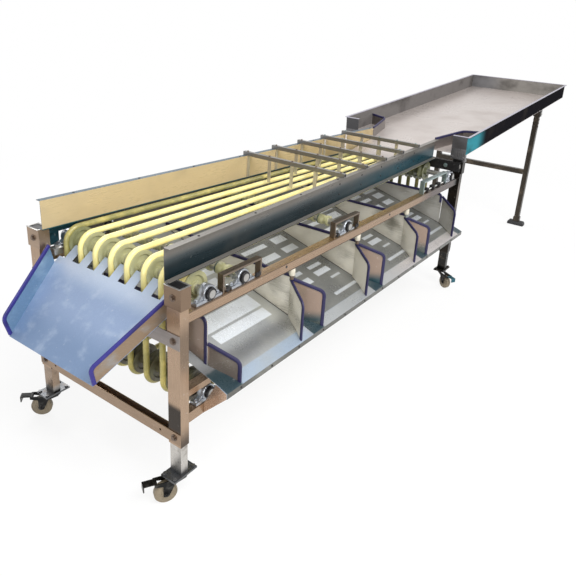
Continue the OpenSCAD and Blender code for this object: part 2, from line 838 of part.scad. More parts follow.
// Funnel plates from the guard ends to the tray walls, bent once
gate_path = [[gate_gap, guard_y(guard_end_x)], [gate_bend_x, gate_bend_y], [gate_end_x, tray_w / 2 - trim_t]];

module gate_plates(t, low, high) {
    in_tray() both_sides() for (k = [1:len(gate_path) - 1]) {
        way = gate_path[k] - gate_path[k - 1];
        translate([gate_path[k - 1][0], gate_path[k - 1][1], sheet_t]) rotate([0, 0, atan2(way[1], way[0])])
            block([0, -t / 2, low], [norm(way), t / 2, high]);
    }
}

module feed_gates() {
    color(bright) placed() gate_plates(sheet_t, 0, gate_h - trim_w);
}

// Blocks on the infeed legs under the tray, and the hinge lugs of the support
function tray_under(x) = tray_z + (x - tray_x) * tan(tray_tilt);

module tray_brackets() {
    color(dark) placed() {
        both_sides() xz_plate([[leg_pitch_x - leg_d / 2, deck_z], [leg_pitch_x + leg_d / 2, deck_z],
                               [leg_pitch_x + leg_d / 2, tray_under(leg_pitch_x + leg_d / 2)],
                               [leg_pitch_x - leg_d / 2, tray_under(leg_pitch_x - leg_d / 2)]],
                              half_y - leg_w / 2, leg_w);
        in_tray() both_sides() for (way = sides)
            difference() {
                translate([hinge_x, support_y + way * (support_s / 2 + lug_gap + lug_t / 2), 0])
                    block([-lug_w / 2, -lug_t / 2, -pivot_drop - lug_w / 2], [lug_w / 2, lug_t / 2, 0]);
                rod_y(hinge_x, -pivot_drop, support_y - support_s, support_y + support_s, pin_r);
            }
        in_tray() both_sides() rod_y(hinge_x, -pivot_drop, support_y - support_s / 2 - lug_gap - lug_t,
                                     support_y + support_s / 2 + lug_gap + lug_t, pin_r);
    }
}

// Support frame that folds under the tray

pivot_x = tray_x + hinge_x * cos(tray_tilt) + pivot_drop * sin(tray_tilt);
pivot_z = tray_z + hinge_x * sin(tray_tilt) - pivot_drop * cos(tray_tilt);

// A tube leg, open at the foot and solid round the pin
module support_leg() {
    half = support_s / 2;
    wall = half - tube_wall;
    difference() {
        block([pivot_x - half, support_y - half, foot_h], [pivot_x + half, support_y + half, pivot_z]);
        block([pivot_x - wall, support_y - wall, foot_h - over],
              [pivot_x + wall, support_y + wall, pivot_z - support_s]);
    }
}

module support_frame() {
    color(steel) placed() {
        both_sides() difference() {
            union() {
                support_leg();
                rod_y(pivot_x, pivot_z, support_y - support_s / 2, support_y + support_s / 2, support_s / 2);
            }
            rod_y(pivot_x, pivot_z, support_y - support_s, support_y + support_s, pin_r + bore_clear);
        }
        tube_y([pivot_x - support_s / 2, -support_y + support_s / 2, support_bar_z],
               [pivot_x + support_s / 2, support_y - support_s / 2, support_bar_z + support_s]);
    }
}

module support_feet() {
    color(dark) placed() both_sides()
        block([pivot_x - support_s / 2 - bracket_wall, support_y - foot_l / 2, 0],
              [pivot_x + support_s / 2 + bracket_wall, support_y + foot_l / 2, foot_h]);
}

// Castors with telescopic legs

module at_castor(i) {
    translate([castors[i][0], castors[i][1], 0]) children();
}

module inner_leg(i) {
    color(zinc) placed() at_castor(i) {
        difference() {
            block([-inner_d / 2, -inner_w / 2, castor_z], [inner_d / 2, inner_w / 2, castor_z + inner_l]);
            block([tube_wall - inner_d / 2, tube_wall - inner_w / 2, castor_z + tube_wall],
                  [inner_d / 2 - tube_wall, inner_w / 2 - tube_wall, castor_z + inner_l + over]);
        }
        block([-plate_x / 2, -plate_y / 2, castor_z - plate_t], [plate_x / 2, plate_y / 2, castor_z]);
        translate([0, 0, castor_z - plate_t - king_l]) cylinder(h = king_l, r = king_r);
        for (x = sides, y = sides)
            translate([x * (plate_x / 2 - plate_edge), y * (plate_y / 2 - plate_edge), castor_z])
                cylinder(h = bolt_h, r = bolt_r, $fn = 6);
    }
}

// Swivel head, fork cheeks, axle and pedal pin; the trail points to local -X
module castor_fork(i) {
    head_z = castor_z - plate_t - head_gap;
    fork_y = wheel_w / 2 + fork_gap;
    head_h = king_l + head_gap;
    color(zinc) placed() at_castor(i) rotate([0, 0, castors[i][2]]) {
        difference() {
            translate([0, 0, head_z - head_h]) cylinder(h = head_h, r = head_r);
            translate([0, 0, head_z - head_h - over])
                cylinder(h = head_h + 2 * over, r = king_r + bore_clear);
        }
        both_sides() xz_plate([[head_r - fork_t, head_z - head_h], [-head_r, head_z - head_h],
                               [-pedal_x - pedal_r, pedal_z + pedal_r],
                               [-pedal_x - pedal_r, pedal_z - pedal_r],
                               [-castor_trail - 2 * axle_r, pedal_z - 2 * pedal_r],
                               [-castor_trail - 2 * axle_r, wheel_r - 2 * axle_r],
                               [-castor_trail + 2 * axle_r, wheel_r - 2 * axle_r],
                               [-head_r + king_r, pedal_z - 2 * pedal_r]], fork_y, fork_t);
        rod_y(-castor_trail, wheel_r, -fork_y - fork_t, fork_y + fork_t, axle_r);
        rod_y(-pedal_x, pedal_z, -fork_y - fork_t, fork_y + fork_t, pedal_pin_r);
    }
}

module castor_wheel(i) {
    tyre = wheel_w / 2;
    color(tan_tyre) placed() at_castor(i) rotate([0, 0, castors[i][2]])
        translate([-castor_trail, 0, wheel_r]) rotate([-90, 0, 0]) rotate_extrude() polygon([
            [axle_r + bore_clear, -tyre], [axle_r + king_r, -tyre], [axle_r + 2 * king_r, -tyre + fork_t],
            [wheel_r - king_r, -tyre + fork_t], [wheel_r - fork_t, -tyre + fork_t / 2],
            [wheel_r, -tyre + king_r], [wheel_r, tyre - king_r],
            [wheel_r - fork_t, tyre - fork_t / 2], [wheel_r - king_r, tyre - fork_t],
            [axle_r + 2 * king_r, tyre - fork_t], [axle_r + king_r, tyre], [axle_r + bore_clear, tyre]]);
}

module castor_pedal(i) {
    half = wheel_w / 2;
    color(zinc) placed() at_castor(i) rotate([0, 0, castors[i][2]]) difference() {
        union() {
            rod_y(-pedal_x, pedal_z, -half, half, pedal_r);
            block([-pedal_x - pedal_r - pedal_l, -half, pedal_z + pedal_r - pedal_t],
                  [-pedal_x, half, pedal_z + pedal_r]);
            block([-pedal_x - pedal_r - pedal_l, -half, pedal_z + pedal_r - pedal_lip],
                  [-pedal_x - pedal_r - pedal_l + pedal_t, half, pedal_z + pedal_r]);
        }
        rod_y(-pedal_x, pedal_z, -half - over, half + over, pedal_pin_r + bore_clear);
    }
}

module inner_leg_1() { inner_leg(0); }
module castor_fork_1() { castor_fork(0); }
module castor_wheel_1() { castor_wheel(0); }
module castor_pedal_1() { castor_pedal(0); }
module inner_leg_2() { inner_leg(1); }
module castor_fork_2() { castor_fork(1); }
module castor_wheel_2() { castor_wheel(1); }
module castor_pedal_2() { castor_pedal(1); }
module inner_leg_3() { inner_leg(2); }
module castor_fork_3() { castor_fork(2); }
module castor_wheel_3() { castor_wheel(2); }
module castor_pedal_3() { castor_pedal(2); }
module inner_leg_4() { inner_leg(3); }
module castor_fork_4() { castor_fork(3); }
module castor_wheel_4() { castor_wheel(3); }
module castor_pedal_4() { castor_pedal(3); }

// Drive on the infeed end's lower shaft, by the far rail

gearbox_w = 86;
gearbox_x = 110;
gearbox_h = 170;
gearbox_drop = 52;
gearbox_room = 6;
gearbox_y = half_y - rail_w / 2 - gearbox_room - gearbox_w / 2;
motor_rise = 64;
arm_t = 8;

module gearbox() {
    y0 = gearbox_y - gearbox_w / 2;
    y1 = gearbox_y + gearbox_w / 2;
    color(paint_grey) placed() {
        difference() {
            block([infeed_x - gearbox_x / 2, y0, low_shaft_z - gearbox_drop],
                  [infeed_x + gearbox_x / 2, y1, low_shaft_z - gearbox_drop + gearbox_h]);
            rod_y(infeed_x, low_shaft_z, y0 - over, y1 + over, shaft_r + bore_clear);
        }
        // Torque arm to the far rail
        block([infeed_x - gearbox_x / 2 - bearing_l, y1 - arm_t, low_rail_top_z - rail_h],
              [infeed_x - gearbox_x / 2, chute_back_y, low_rail_top_z]);
    }
}

module gear_motor() {
    z = low_shaft_z + motor_rise;
    x1 = infeed_x - gearbox_x / 2;
    color(paint_grey) placed() {
        rod_x(x1 - motor_l, x1, gearbox_y, z, motor_dia / 2);
        block([x1 - motor_l / 2 - lug_w / 2, gearbox_y - lug_w / 2, z],
              [x1 - motor_l / 2 + lug_w / 2, gearbox_y + lug_w / 2, z + motor_dia / 2 + bolt_r]);
    }
}

// Bolts of the frame, the bearings and the lane bars

module bolt_x() {
    rotate([0, -90, 0]) {
        cylinder(h = washer_t, r = washer_r);
        cylinder(h = washer_t + bolt_h, r = bolt_r, $fn = 6);
    }
}

module small_bolt() {
    cylinder(h = small_bolt_h, r = small_bolt_r, $fn = 6);
}

module fasteners() {
    color(zinc) placed() {
        adjuster_screws();
        divider_spacers();
        for (y = sides) {
            translate([-leg_d / 2 - tube_wall, y * half_y, deck_z - bracket_h / 2]) bolt_x();
            translate([-leg_d / 2 - tube_wall, y * half_y, channel_z + channel_h / 2]) bolt_x();
            translate([-leg_d / 2 - tube_wall, y * half_y, angle_top() - angle_h / 2]) bolt_x();
            translate([leg_pitch_x - leg_d / 2 - beam_d, y * (half_y - leg_w), deck_z - beam_h / 2])
                bolt_x();
            translate([leg_pitch_x + leg_d / 2 + tube_wall, y * half_y, channel_z + channel_h / 2])
                rotate([0, 0, 180]) bolt_x();
        }
        for (i = [0:crossbar_count - 1], share = concat([-1], lane_shares, [1]))
            translate([crossbar_at(i), share * (guard_y(crossbar_at(i)) + sheet_t),
                       deck_z + guard_h + crossbar_s]) small_bolt();
        at_bearings() for (way = sides)
            translate([way * (bearing_l / 2 - washer_r), 0, bearing_base - bearing_h]) small_bolt();
    }
}

outer_legs();
leg_brackets();
upper_rails();
lower_rails();
end_channels();
cross_angle();
infeed_beam();
side_guards();
crossbars();
lane_fingers();
belt_runs();
belt_bends();
bearing_housings();
bearing_inserts();
adjuster_frames();
discharge_floor();
discharge_walls();
chute_floor();
chute_dividers();
chute_cheeks();
edge_trim();
tray_floor();
tray_walls();
tray_rim();
feed_tongue();
feed_gates();
tray_brackets();
gear_motor();
gearbox();
fasteners();
discharge_shaft();
discharge_pulleys();
return_shaft();
return_pulleys();
idler_shaft_a();
idler_pulleys_a();
idler_shaft_b();
idler_pulleys_b();
infeed_shaft();
infeed_pulleys();
drive_shaft();
drive_pulleys();
support_frame();
support_feet();
inner_leg_1();
castor_fork_1();
castor_wheel_1();
castor_pedal_1();
inner_leg_2();
castor_fork_2();
castor_wheel_2();
castor_pedal_2();
inner_leg_3();
castor_fork_3();
castor_wheel_3();
castor_pedal_3();
inner_leg_4();
castor_fork_4();
castor_wheel_4();
castor_pedal_4();
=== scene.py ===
"""Looks of a belt fruit grading machine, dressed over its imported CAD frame.

Most CAD nodes keep their shapes and get procedural finishes. Belts, edging, housings and small
hardware are built here as meshes, in metres and in the CAD's own frame.
"""
import logging
import math
from collections.abc import Callable, Iterable, Sequence
from dataclasses import dataclass
from enum import Enum
from typing import ClassVar

import bmesh
import bpy
from mathutils import Matrix, Vector


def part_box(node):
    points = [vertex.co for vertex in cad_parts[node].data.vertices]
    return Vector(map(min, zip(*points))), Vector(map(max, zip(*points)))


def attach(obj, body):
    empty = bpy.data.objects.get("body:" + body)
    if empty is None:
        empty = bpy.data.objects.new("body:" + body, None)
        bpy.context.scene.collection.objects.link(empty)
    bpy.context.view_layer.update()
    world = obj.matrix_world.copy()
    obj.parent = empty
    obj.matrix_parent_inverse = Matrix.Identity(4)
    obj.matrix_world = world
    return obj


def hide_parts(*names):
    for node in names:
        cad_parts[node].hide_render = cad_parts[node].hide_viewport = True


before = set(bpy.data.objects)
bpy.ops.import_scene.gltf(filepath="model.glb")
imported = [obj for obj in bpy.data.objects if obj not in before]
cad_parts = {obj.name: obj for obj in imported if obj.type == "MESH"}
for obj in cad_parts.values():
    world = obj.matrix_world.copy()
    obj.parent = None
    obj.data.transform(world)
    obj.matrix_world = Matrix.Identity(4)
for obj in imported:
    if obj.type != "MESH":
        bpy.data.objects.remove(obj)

LOG = logging.getLogger("fruit_grader")
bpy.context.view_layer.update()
MM = 0.001
IMAGE_PX = 576.0
UP = Vector((0.0, 0.0, 1.0))
ALONG = Vector((1.0, 0.0, 0.0))
ACROSS = Vector((0.0, 1.0, 0.0))
ORIGIN = Vector((0.0, 0.0, 0.0))
BOTH = (-1, 1)
WHITE = (1.0, 1.0, 1.0)
Colour = tuple[float, float, float]
Point = tuple[float, float, float]
Range = tuple[float, float]
# A bolt head is its radius and height, and a profile is radii and heights, in millimetres
Head = tuple[float, float]
Profile = Sequence[tuple[float, float]]
# A seat is a point in metres and the way out
Seat = tuple[Vector, Vector]


def srgb(red: float, green: float, blue: float) -> Colour:
    """Gives the linear colour of a display colour.

    Args:
        red, green, blue: display values from 0 to 255.

    Returns:
        The linear colour.
    """
    def linear(value: float) -> float:
        """One channel, by the display curve."""
        share = value / 255.0
        return share / 12.92 if share <= 0.04045 else ((share + 0.055) / 1.055) ** 2.4
    return linear(red), linear(green), linear(blue)


class Place:
    """Millimetres from the discharge legs, the centre line and the floor, as the part's metres."""

    def __init__(self) -> None:
        """Finds the discharge legs in the frame."""
        low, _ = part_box("outer_legs")
        self.zero = Vector((low.x + Frame.leg_d / 2 * MM, low.y + (Frame.half_y + Frame.leg_w / 2) * MM, 0.0))

    def at(self, x: float, y: float, z: float) -> Vector:
        """Gives a point of the part.

        Args:
            x, y, z: the place on the machine in millimetres.

        Returns:
            The point in metres.
        """
        return self.zero + Vector((x, y, z)) * MM


@dataclass(frozen=True)
class Frame:
    """Sizes of the frame and of the belts' setting out, in millimetres."""

    leg_pitch_x: float = 2450.0
    half_y: float = 380.0
    leg_d: float = 40.0
    leg_w: float = 60.0
    deck_z: float = 866.0
    bracket_wall: float = 8.0
    rail_h: float = 40.0
    rail_top_z: float = 760.0
    shaft_z: float = 792.0
    low_shaft_z: float = 394.0
    shaft_x: float = 135.0
    idler_a_x: float = 314.0
    idler_b_x: float = 1056.0
    infeed_x: float = 2310.0
    shaft_r: float = 15.0
    sheet_t: float = 2.0
    pitch_r: float = 60.0
    pitch_discharge: float = 89.0
    pitch_infeed: float = 61.0
    bay_x: float = 645.0
    bay_l: float = 541.0
    divider_count: int = 3
    end_xs: Range = (146.0, 2268.0)
    lip: Range = (460.0, 470.0)
    floor_back: Range = (358.0, 700.0)

    @classmethod
    def dividers(cls) -> list[float]:
        """Where the dividers stand along the machine."""
        return [cls.bay_x + k * cls.bay_l for k in range(cls.divider_count)]

    @classmethod
    def floor_z(cls, y: float) -> float:
        """The height of the grade chutes' floor at a place across the machine."""
        (lip_y, lip_z), (back_y, back_z) = cls.lip, cls.floor_back
        return lip_z + (y + lip_y) * (back_z - lip_z) / (back_y + lip_y)

    @classmethod
    def floor_normal(cls) -> Vector:
        """The direction square to that floor."""
        return Vector((0.0, cls.lip[1] - cls.floor_back[1], cls.floor_back[0] + cls.lip[0])).normalized()

    @classmethod
    def wraps(cls) -> tuple[float, float]:
        """Where the belts start and end to spread."""
        return cls.shaft_x - cls.pitch_r / 2, cls.infeed_x + cls.pitch_r / 2

    @classmethod
    def spread(cls, x: float) -> float:
        """The belt spacing at a place along the machine."""
        start, end = cls.wraps()
        return cls.pitch_discharge + (cls.pitch_infeed - cls.pitch_discharge) * (x - start) / (end - start)


# Shaders


class Value:
    """A shader socket that takes part in Python arithmetic."""

    def __init__(self, graph: "Graph", socket: bpy.types.NodeSocket) -> None:
        """Keeps the socket and the graph that holds it."""
        self.graph = graph
        self.socket = socket

    def _math(self, operation: str, first: "Value | float", second: "Value | float") -> "Value":
        """Adds one Math node.

        Args:
            operation: the node's operation.
            first, second: its two inputs.

        Returns:
            The result.
        """
        node = self.graph.node("ShaderNodeMath", {"operation": operation}, {0: first, 1: second})
        return Value(self.graph, node.outputs[0])

    def __add__(self, other: "Value | float") -> "Value":
        """Sum."""
        return self._math("ADD", self, other)

    def __radd__(self, other: float) -> "Value":
        """Sum with a number first."""
        return self._math("ADD", other, self)

    def __sub__(self, other: "Value | float") -> "Value":
        """Difference."""
        return self._math("SUBTRACT", self, other)

    def __rsub__(self, other: float) -> "Value":
        """Difference from a number."""
        return self._math("SUBTRACT", other, self)

    def __mul__(self, other: "Value | float") -> "Value":
        """Product."""
        return self._math("MULTIPLY", self, other)

    def __rmul__(self, other: float) -> "Value":
        """Product with a number first."""
        return self._math("MULTIPLY", other, self)

    def __truediv__(self, other: "Value | float") -> "Value":
        """Quotient."""
        return self._math("DIVIDE", self, other)

    def sign(self) -> "Value":
        """Minus one, nought or one."""
        return self._math("SIGN", self, 0.0)

    def wrapped(self) -> "Value":
        """The fractional part."""
        return self._math("FRACT", self, 0.0)

    def span(self, start: float, end: float) -> "Value":
        """Runs smoothly from nought at one value to one at another.

        Args:
            start: the value that gives nought.
            end: the value that gives one.

        Returns:
            The share from nought to one.
        """
        node = self.graph.node("ShaderNodeMapRange", {"interpolation_type": "SMOOTHSTEP"},
                               {"Value": self, "From Min": start, "From Max": end})
        return Value(self.graph, node.outputs["Result"])


class Axis(Enum):
    """What a change of colour follows."""

    X = "x"
    Y = "y"
    Z = "z"
    OUTWARD = "outward"
    FACE_X = "face_x"
    FACE_Y = "face_y"
    FACE_Z = "face_z"
    BAY = "bay"
    LANE = "lane"


@dataclass(frozen=True)
class Span:
    """A share that runs from nought to one along an axis, in metres of the part or in shares."""

    axis: Axis
    start: float
    end: float


@dataclass(frozen=True)
class Zone:
    """A colour that comes in where all its spans do."""

    colour: Colour
    spans: tuple[Span, ...]
    strength: float = 1.0


def feed(tree: bpy.types.NodeTree, socket: bpy.types.NodeSocket, value: object) -> None:
    """Sets or links one input.

    Args:
        tree: the tree that holds it.
        socket: the input.
        value: a number, a text, a colour, a socket or a Value.
    """
    if isinstance(value, Value):
        value = value.socket
    if isinstance(value, bpy.types.NodeSocket):
        tree.links.new(value, socket)
    elif isinstance(value, tuple) and socket.type == "RGBA":
        socket.default_value = (*value, 1.0)
    else:
        socket.default_value = value


def make_node(tree: bpy.types.NodeTree, kind: str, settings: dict, sockets: dict) -> bpy.types.Node:
    """Makes any node.

    Args:
        tree: the tree that gets it.
        kind: the node's type.
        settings: its attributes, set first.
        sockets: values or links by input name or index.

    Returns:
        The node.
    """
    made = tree.nodes.new(kind)
    for key, value in settings.items():
        setattr(made, key, value)
    for key, value in sockets.items():
        feed(tree, made.inputs[key], value)
    return made


class Graph:
    """The node graph of one material."""

    middle_y = 0.0
    bay_start = 0.0
    bay_length = 1.0
    lane_zero = 1.0
    lane_slope = 0.0
    relief = 0.6

    @classmethod
    def follow(cls, place: Place) -> None:
        """Takes over the machine's setting out, for all graphs.

        Args:
            place: the setting out.
        """
        cls.middle_y = place.zero.y
        cls.bay_start = place.at(Frame.bay_x, 0.0, 0.0).x
        cls.bay_length = Frame.bay_l * MM
        cls.lane_slope = Frame.spread(1.0) - Frame.spread(0.0)
        cls.lane_zero = Frame.spread(0.0) * MM - cls.lane_slope * place.zero.x

    def __init__(self, name: str) -> None:
        """Starts a material with a Principled shader.

        Args:
            name: the material's name.
        """
        self.material = bpy.data.materials.new(name)
        self.material.use_nodes = True
        self.tree = self.material.node_tree
        self.shader = next(n for n in self.tree.nodes if n.type == "BSDF_PRINCIPLED")
        coords = self.node("ShaderNodeTexCoord", {}, {})
        self.place = coords.outputs["Object"]
        parts = self.node("ShaderNodeSeparateXYZ", {}, {0: self.place})
        faces = self.node("ShaderNodeSeparateXYZ", {}, {0: coords.outputs["Normal"]})
        self.x, self.y, self.z = (Value(self, out) for out in parts.outputs)
        self.face_x, self.face_y, self.face_z = (Value(self, out) for out in faces.outputs)

    def node(self, kind: str, settings: dict, sockets: dict) -> bpy.types.Node:
        """Makes a node of this graph, as make_node does."""
        return make_node(self.tree, kind, settings, sockets)

    def mix(self, share: "Value | float", first: object, second: object) -> bpy.types.NodeSocket:
        """Mixes two colours.

        Args:
            share: how much of the second.
            first, second: colours or sockets.

        Returns:
            The colour socket.
        """
        made = self.node("ShaderNodeMix", {"data_type": "RGBA"}, {0: share, 6: first, 7: second})
        return made.outputs[2]

    def noise(self, scale: float, stretch: Point = (1.0, 1.0, 1.0), detail: float = 4.0) -> Value:
        """Gives a noise over the piece.

        Args:
            scale: cells per metre.
            stretch: how much faster the noise runs along each axis.
            detail: octaves.

        Returns:
            The noise, from nought to one about a half.
        """
        moved = self.node("ShaderNodeMapping", {}, {"Vector": self.place, "Scale": stretch})
        sockets = {"Vector": moved.outputs[0], "Scale": scale, "Detail": detail}
        return Value(self, self.node("ShaderNodeTexNoise", {}, sockets).outputs[0])

    def along(self, axis: Axis) -> Value:
        """Gives the value that a zone follows.

        Args:
            axis: what it follows.

        Returns:
            The value.
        """
        plain = {Axis.X: self.x, Axis.Y: self.y, Axis.Z: self.z, Axis.FACE_X: self.face_x,
                 Axis.FACE_Y: self.face_y, Axis.FACE_Z: self.face_z}
        if axis in plain:
            return plain[axis]
        if axis is Axis.BAY:
            return ((self.x - self.bay_start) / self.bay_length).wrapped()
        if axis is Axis.LANE:
            return (self.y - self.middle_y) / (self.x * self.lane_slope + self.lane_zero)
        return self.face_y * (self.y - self.middle_y).sign()

    def share(self, spans: Iterable[Span]) -> Value:
        """Multiplies spans.

        Args:
            spans: the spans of a zone.

        Returns:
            Their product.
        """
        shares = [self.along(one.axis).span(one.start, one.end) for one in spans]
        total = shares[0]
        for other in shares[1:]:
            total = total * other
        return total

    def zoned(self, colour: Colour, zones: Iterable[Zone]) -> object:
        """Lays zones over a colour.

        Args:
            colour: the ground.
            zones: what comes over it, in order.

        Returns:
            A colour or a socket.
        """
        ground: object = colour
        for zone in zones:
            ground = self.mix(self.share(zone.spans) * zone.strength, ground, zone.colour)
        return ground

    def finish(self, base: object, roughness: Value | float, bump: Value | None = None,
               depth: float = 0.0) -> bpy.types.Material:
        """Joins the results to the shader.

        Args:
            base: the colour.
            roughness: the roughness.
            bump: the height of the fine relief, or nothing.
            depth: how deep that relief is, in millimetres.

        Returns:
            The material.
        """
        inputs = self.shader.inputs
        feed(self.tree, inputs["Base Color"], base)
        feed(self.tree, inputs["Roughness"], roughness)
        if bump is not None:
            sockets = {"Strength": self.relief, "Distance": depth * MM, "Height": bump}
            feed(self.tree, inputs["Normal"], self.node("ShaderNodeBump", {}, sockets).outputs[0])
        return self.material


class Grain(Enum):
    """The way in which a sheet or bar is brushed, as the noise's stretch."""

    ALONG_X = (0.03, 1.0, 1.0)
    ALONG_Y = (1.0, 0.03, 1.0)
    ALONG_Z = (1.0, 1.0, 0.03)


@dataclass(frozen=True)
class Steel:
    """Stainless or plated steel with brushing and smears; the smears stand for both stains and painted
    reflections.
    """

    name: str
    colour: Colour
    stain_and_reflection: Colour
    grain: Grain = Grain.ALONG_X
    roughness: float = 0.32
    metallic: float = 0.85
    smear_share: float = 0.35
    smear_scale: float = 5.0
    grain_depth: float = 0.12
    specular: float = 0.5
    streak: float = 0.35
    wear: float = 0.18
    zones: tuple[Zone, ...] = ()
    brush_scale: ClassVar[float] = 420.0
    speck_scale: ClassVar[float] = 70.0
    smear_stretch: ClassVar[Point] = (1.0, 1.0, 1.4)
    smear_span: ClassVar[Range] = (0.48, 0.78)
    speck_span: ClassVar[Range] = (0.66, 0.8)
    groove: ClassVar[Colour] = (0.02, 0.02, 0.02)
    bare: ClassVar[Colour] = (0.75, 0.73, 0.7)
    smear_rough: ClassVar[float] = 0.22
    brush_rough: ClassVar[float] = 0.16

    def make(self) -> bpy.types.Material:
        """Builds the material.

        Returns:
            The material.
        """
        graph = Graph(self.name)
        brush = graph.noise(self.brush_scale, self.grain.value, detail=3.0)
        smear = graph.noise(self.smear_scale, self.smear_stretch, detail=5.0)
        speck = graph.noise(self.speck_scale, detail=2.0)
        ground = graph.zoned(self.colour, self.zones)
        # Painted reflection: the smears mix in a second colour that stands for both stains and reflections of
        # the surroundings.
        stained_and_reflected = graph.mix(smear.span(*self.smear_span) * self.smear_share, ground, self.stain_and_reflection)
        streaked = graph.mix((brush - 0.5) * self.streak + self.streak / 3, stained_and_reflected, self.groove)
        worn = graph.mix(speck.span(*self.speck_span) * self.wear, streaked, self.bare)
        graph.shader.inputs["Metallic"].default_value = self.metallic
        graph.shader.inputs["Specular IOR Level"].default_value = self.specular
        rough = (smear - 0.5) * self.smear_rough + (brush - 0.5) * self.brush_rough + self.roughness
        return graph.finish(worn, rough, brush, self.grain_depth)


@dataclass(frozen=True)
class Moulded:
    """Rubber, nylon or another plastic with a fine skin and a little dust."""

    name: str
    colour: Colour
    shade: Colour
    roughness: float = 0.45
    skin_depth: float = 0.2
    subsurface: float = 0.0
    coat: float = 0.0
    dust: float = 0.12
    zones: tuple[Zone, ...] = ()
    skin_scale: ClassVar[float] = 900.0
    cloud_scale: ClassVar[float] = 14.0
    skin_span: ClassVar[Range] = (0.6, 0.8)
    cloud_span: ClassVar[Range] = (0.42, 0.72)
    cloud_share: ClassVar[float] = 0.55
    dust_colour: ClassVar[Colour] = (0.55, 0.53, 0.5)
    scatter: ClassVar[Point] = (0.02, 0.018, 0.01)
    cloud_rough: ClassVar[float] = 0.2
    skin_rough: ClassVar[float] = 0.1

    def make(self) -> bpy.types.Material:
        """Builds the material.

        Returns:
            The material.
        """
        graph = Graph(self.name)
        skin = graph.noise(self.skin_scale, detail=2.0)
        cloud = graph.noise(self.cloud_scale)
        ground = graph.zoned(self.colour, self.zones)
        shaded = graph.mix(cloud.span(*self.cloud_span) * self.cloud_share, ground, self.shade)
        dusty = graph.mix(skin.span(*self.skin_span) * self.dust, shaded, self.dust_colour)
        graph.shader.inputs["Coat Weight"].default_value = self.coat
        graph.shader.inputs["Subsurface Weight"].default_value = self.subsurface
        graph.shader.inputs["Subsurface Radius"].default_value = self.scatter
        rough = (cloud - 0.5) * self.cloud_rough + (skin - 0.5) * self.skin_rough + self.roughness
        return graph.finish(dusty, rough, skin, self.skin_depth)


NEAR_FACE = Span(Axis.FACE_Y, -0.6, -0.9)
END_FACE = Span(Axis.FACE_X, -0.6, -0.9)
TOP_FACE = Span(Axis.FACE_Z, 0.6, 0.9)
OUTSIDE = Span(Axis.OUTWARD, 0.0, 0.5)
INSIDE = Span(Axis.OUTWARD, 0.0, -0.5)


def in_bay(start: float, end: float) -> Span:
    """A share that comes in between two shares of each chute's length."""
    return Span(Axis.BAY, start, end)


def band(way: Callable[[float, float], Span], low: float, high: float, soft: float) -> tuple[Span, Span]:
    """Gives the two spans of a band.

    Args:
        way: makes a span from two places.
        low, high: the band's edges.
        soft: half the width of each edge.

    Returns:
        The span at each edge.
    """
    return way(low - soft, low + soft), way(high + soft, high - soft)


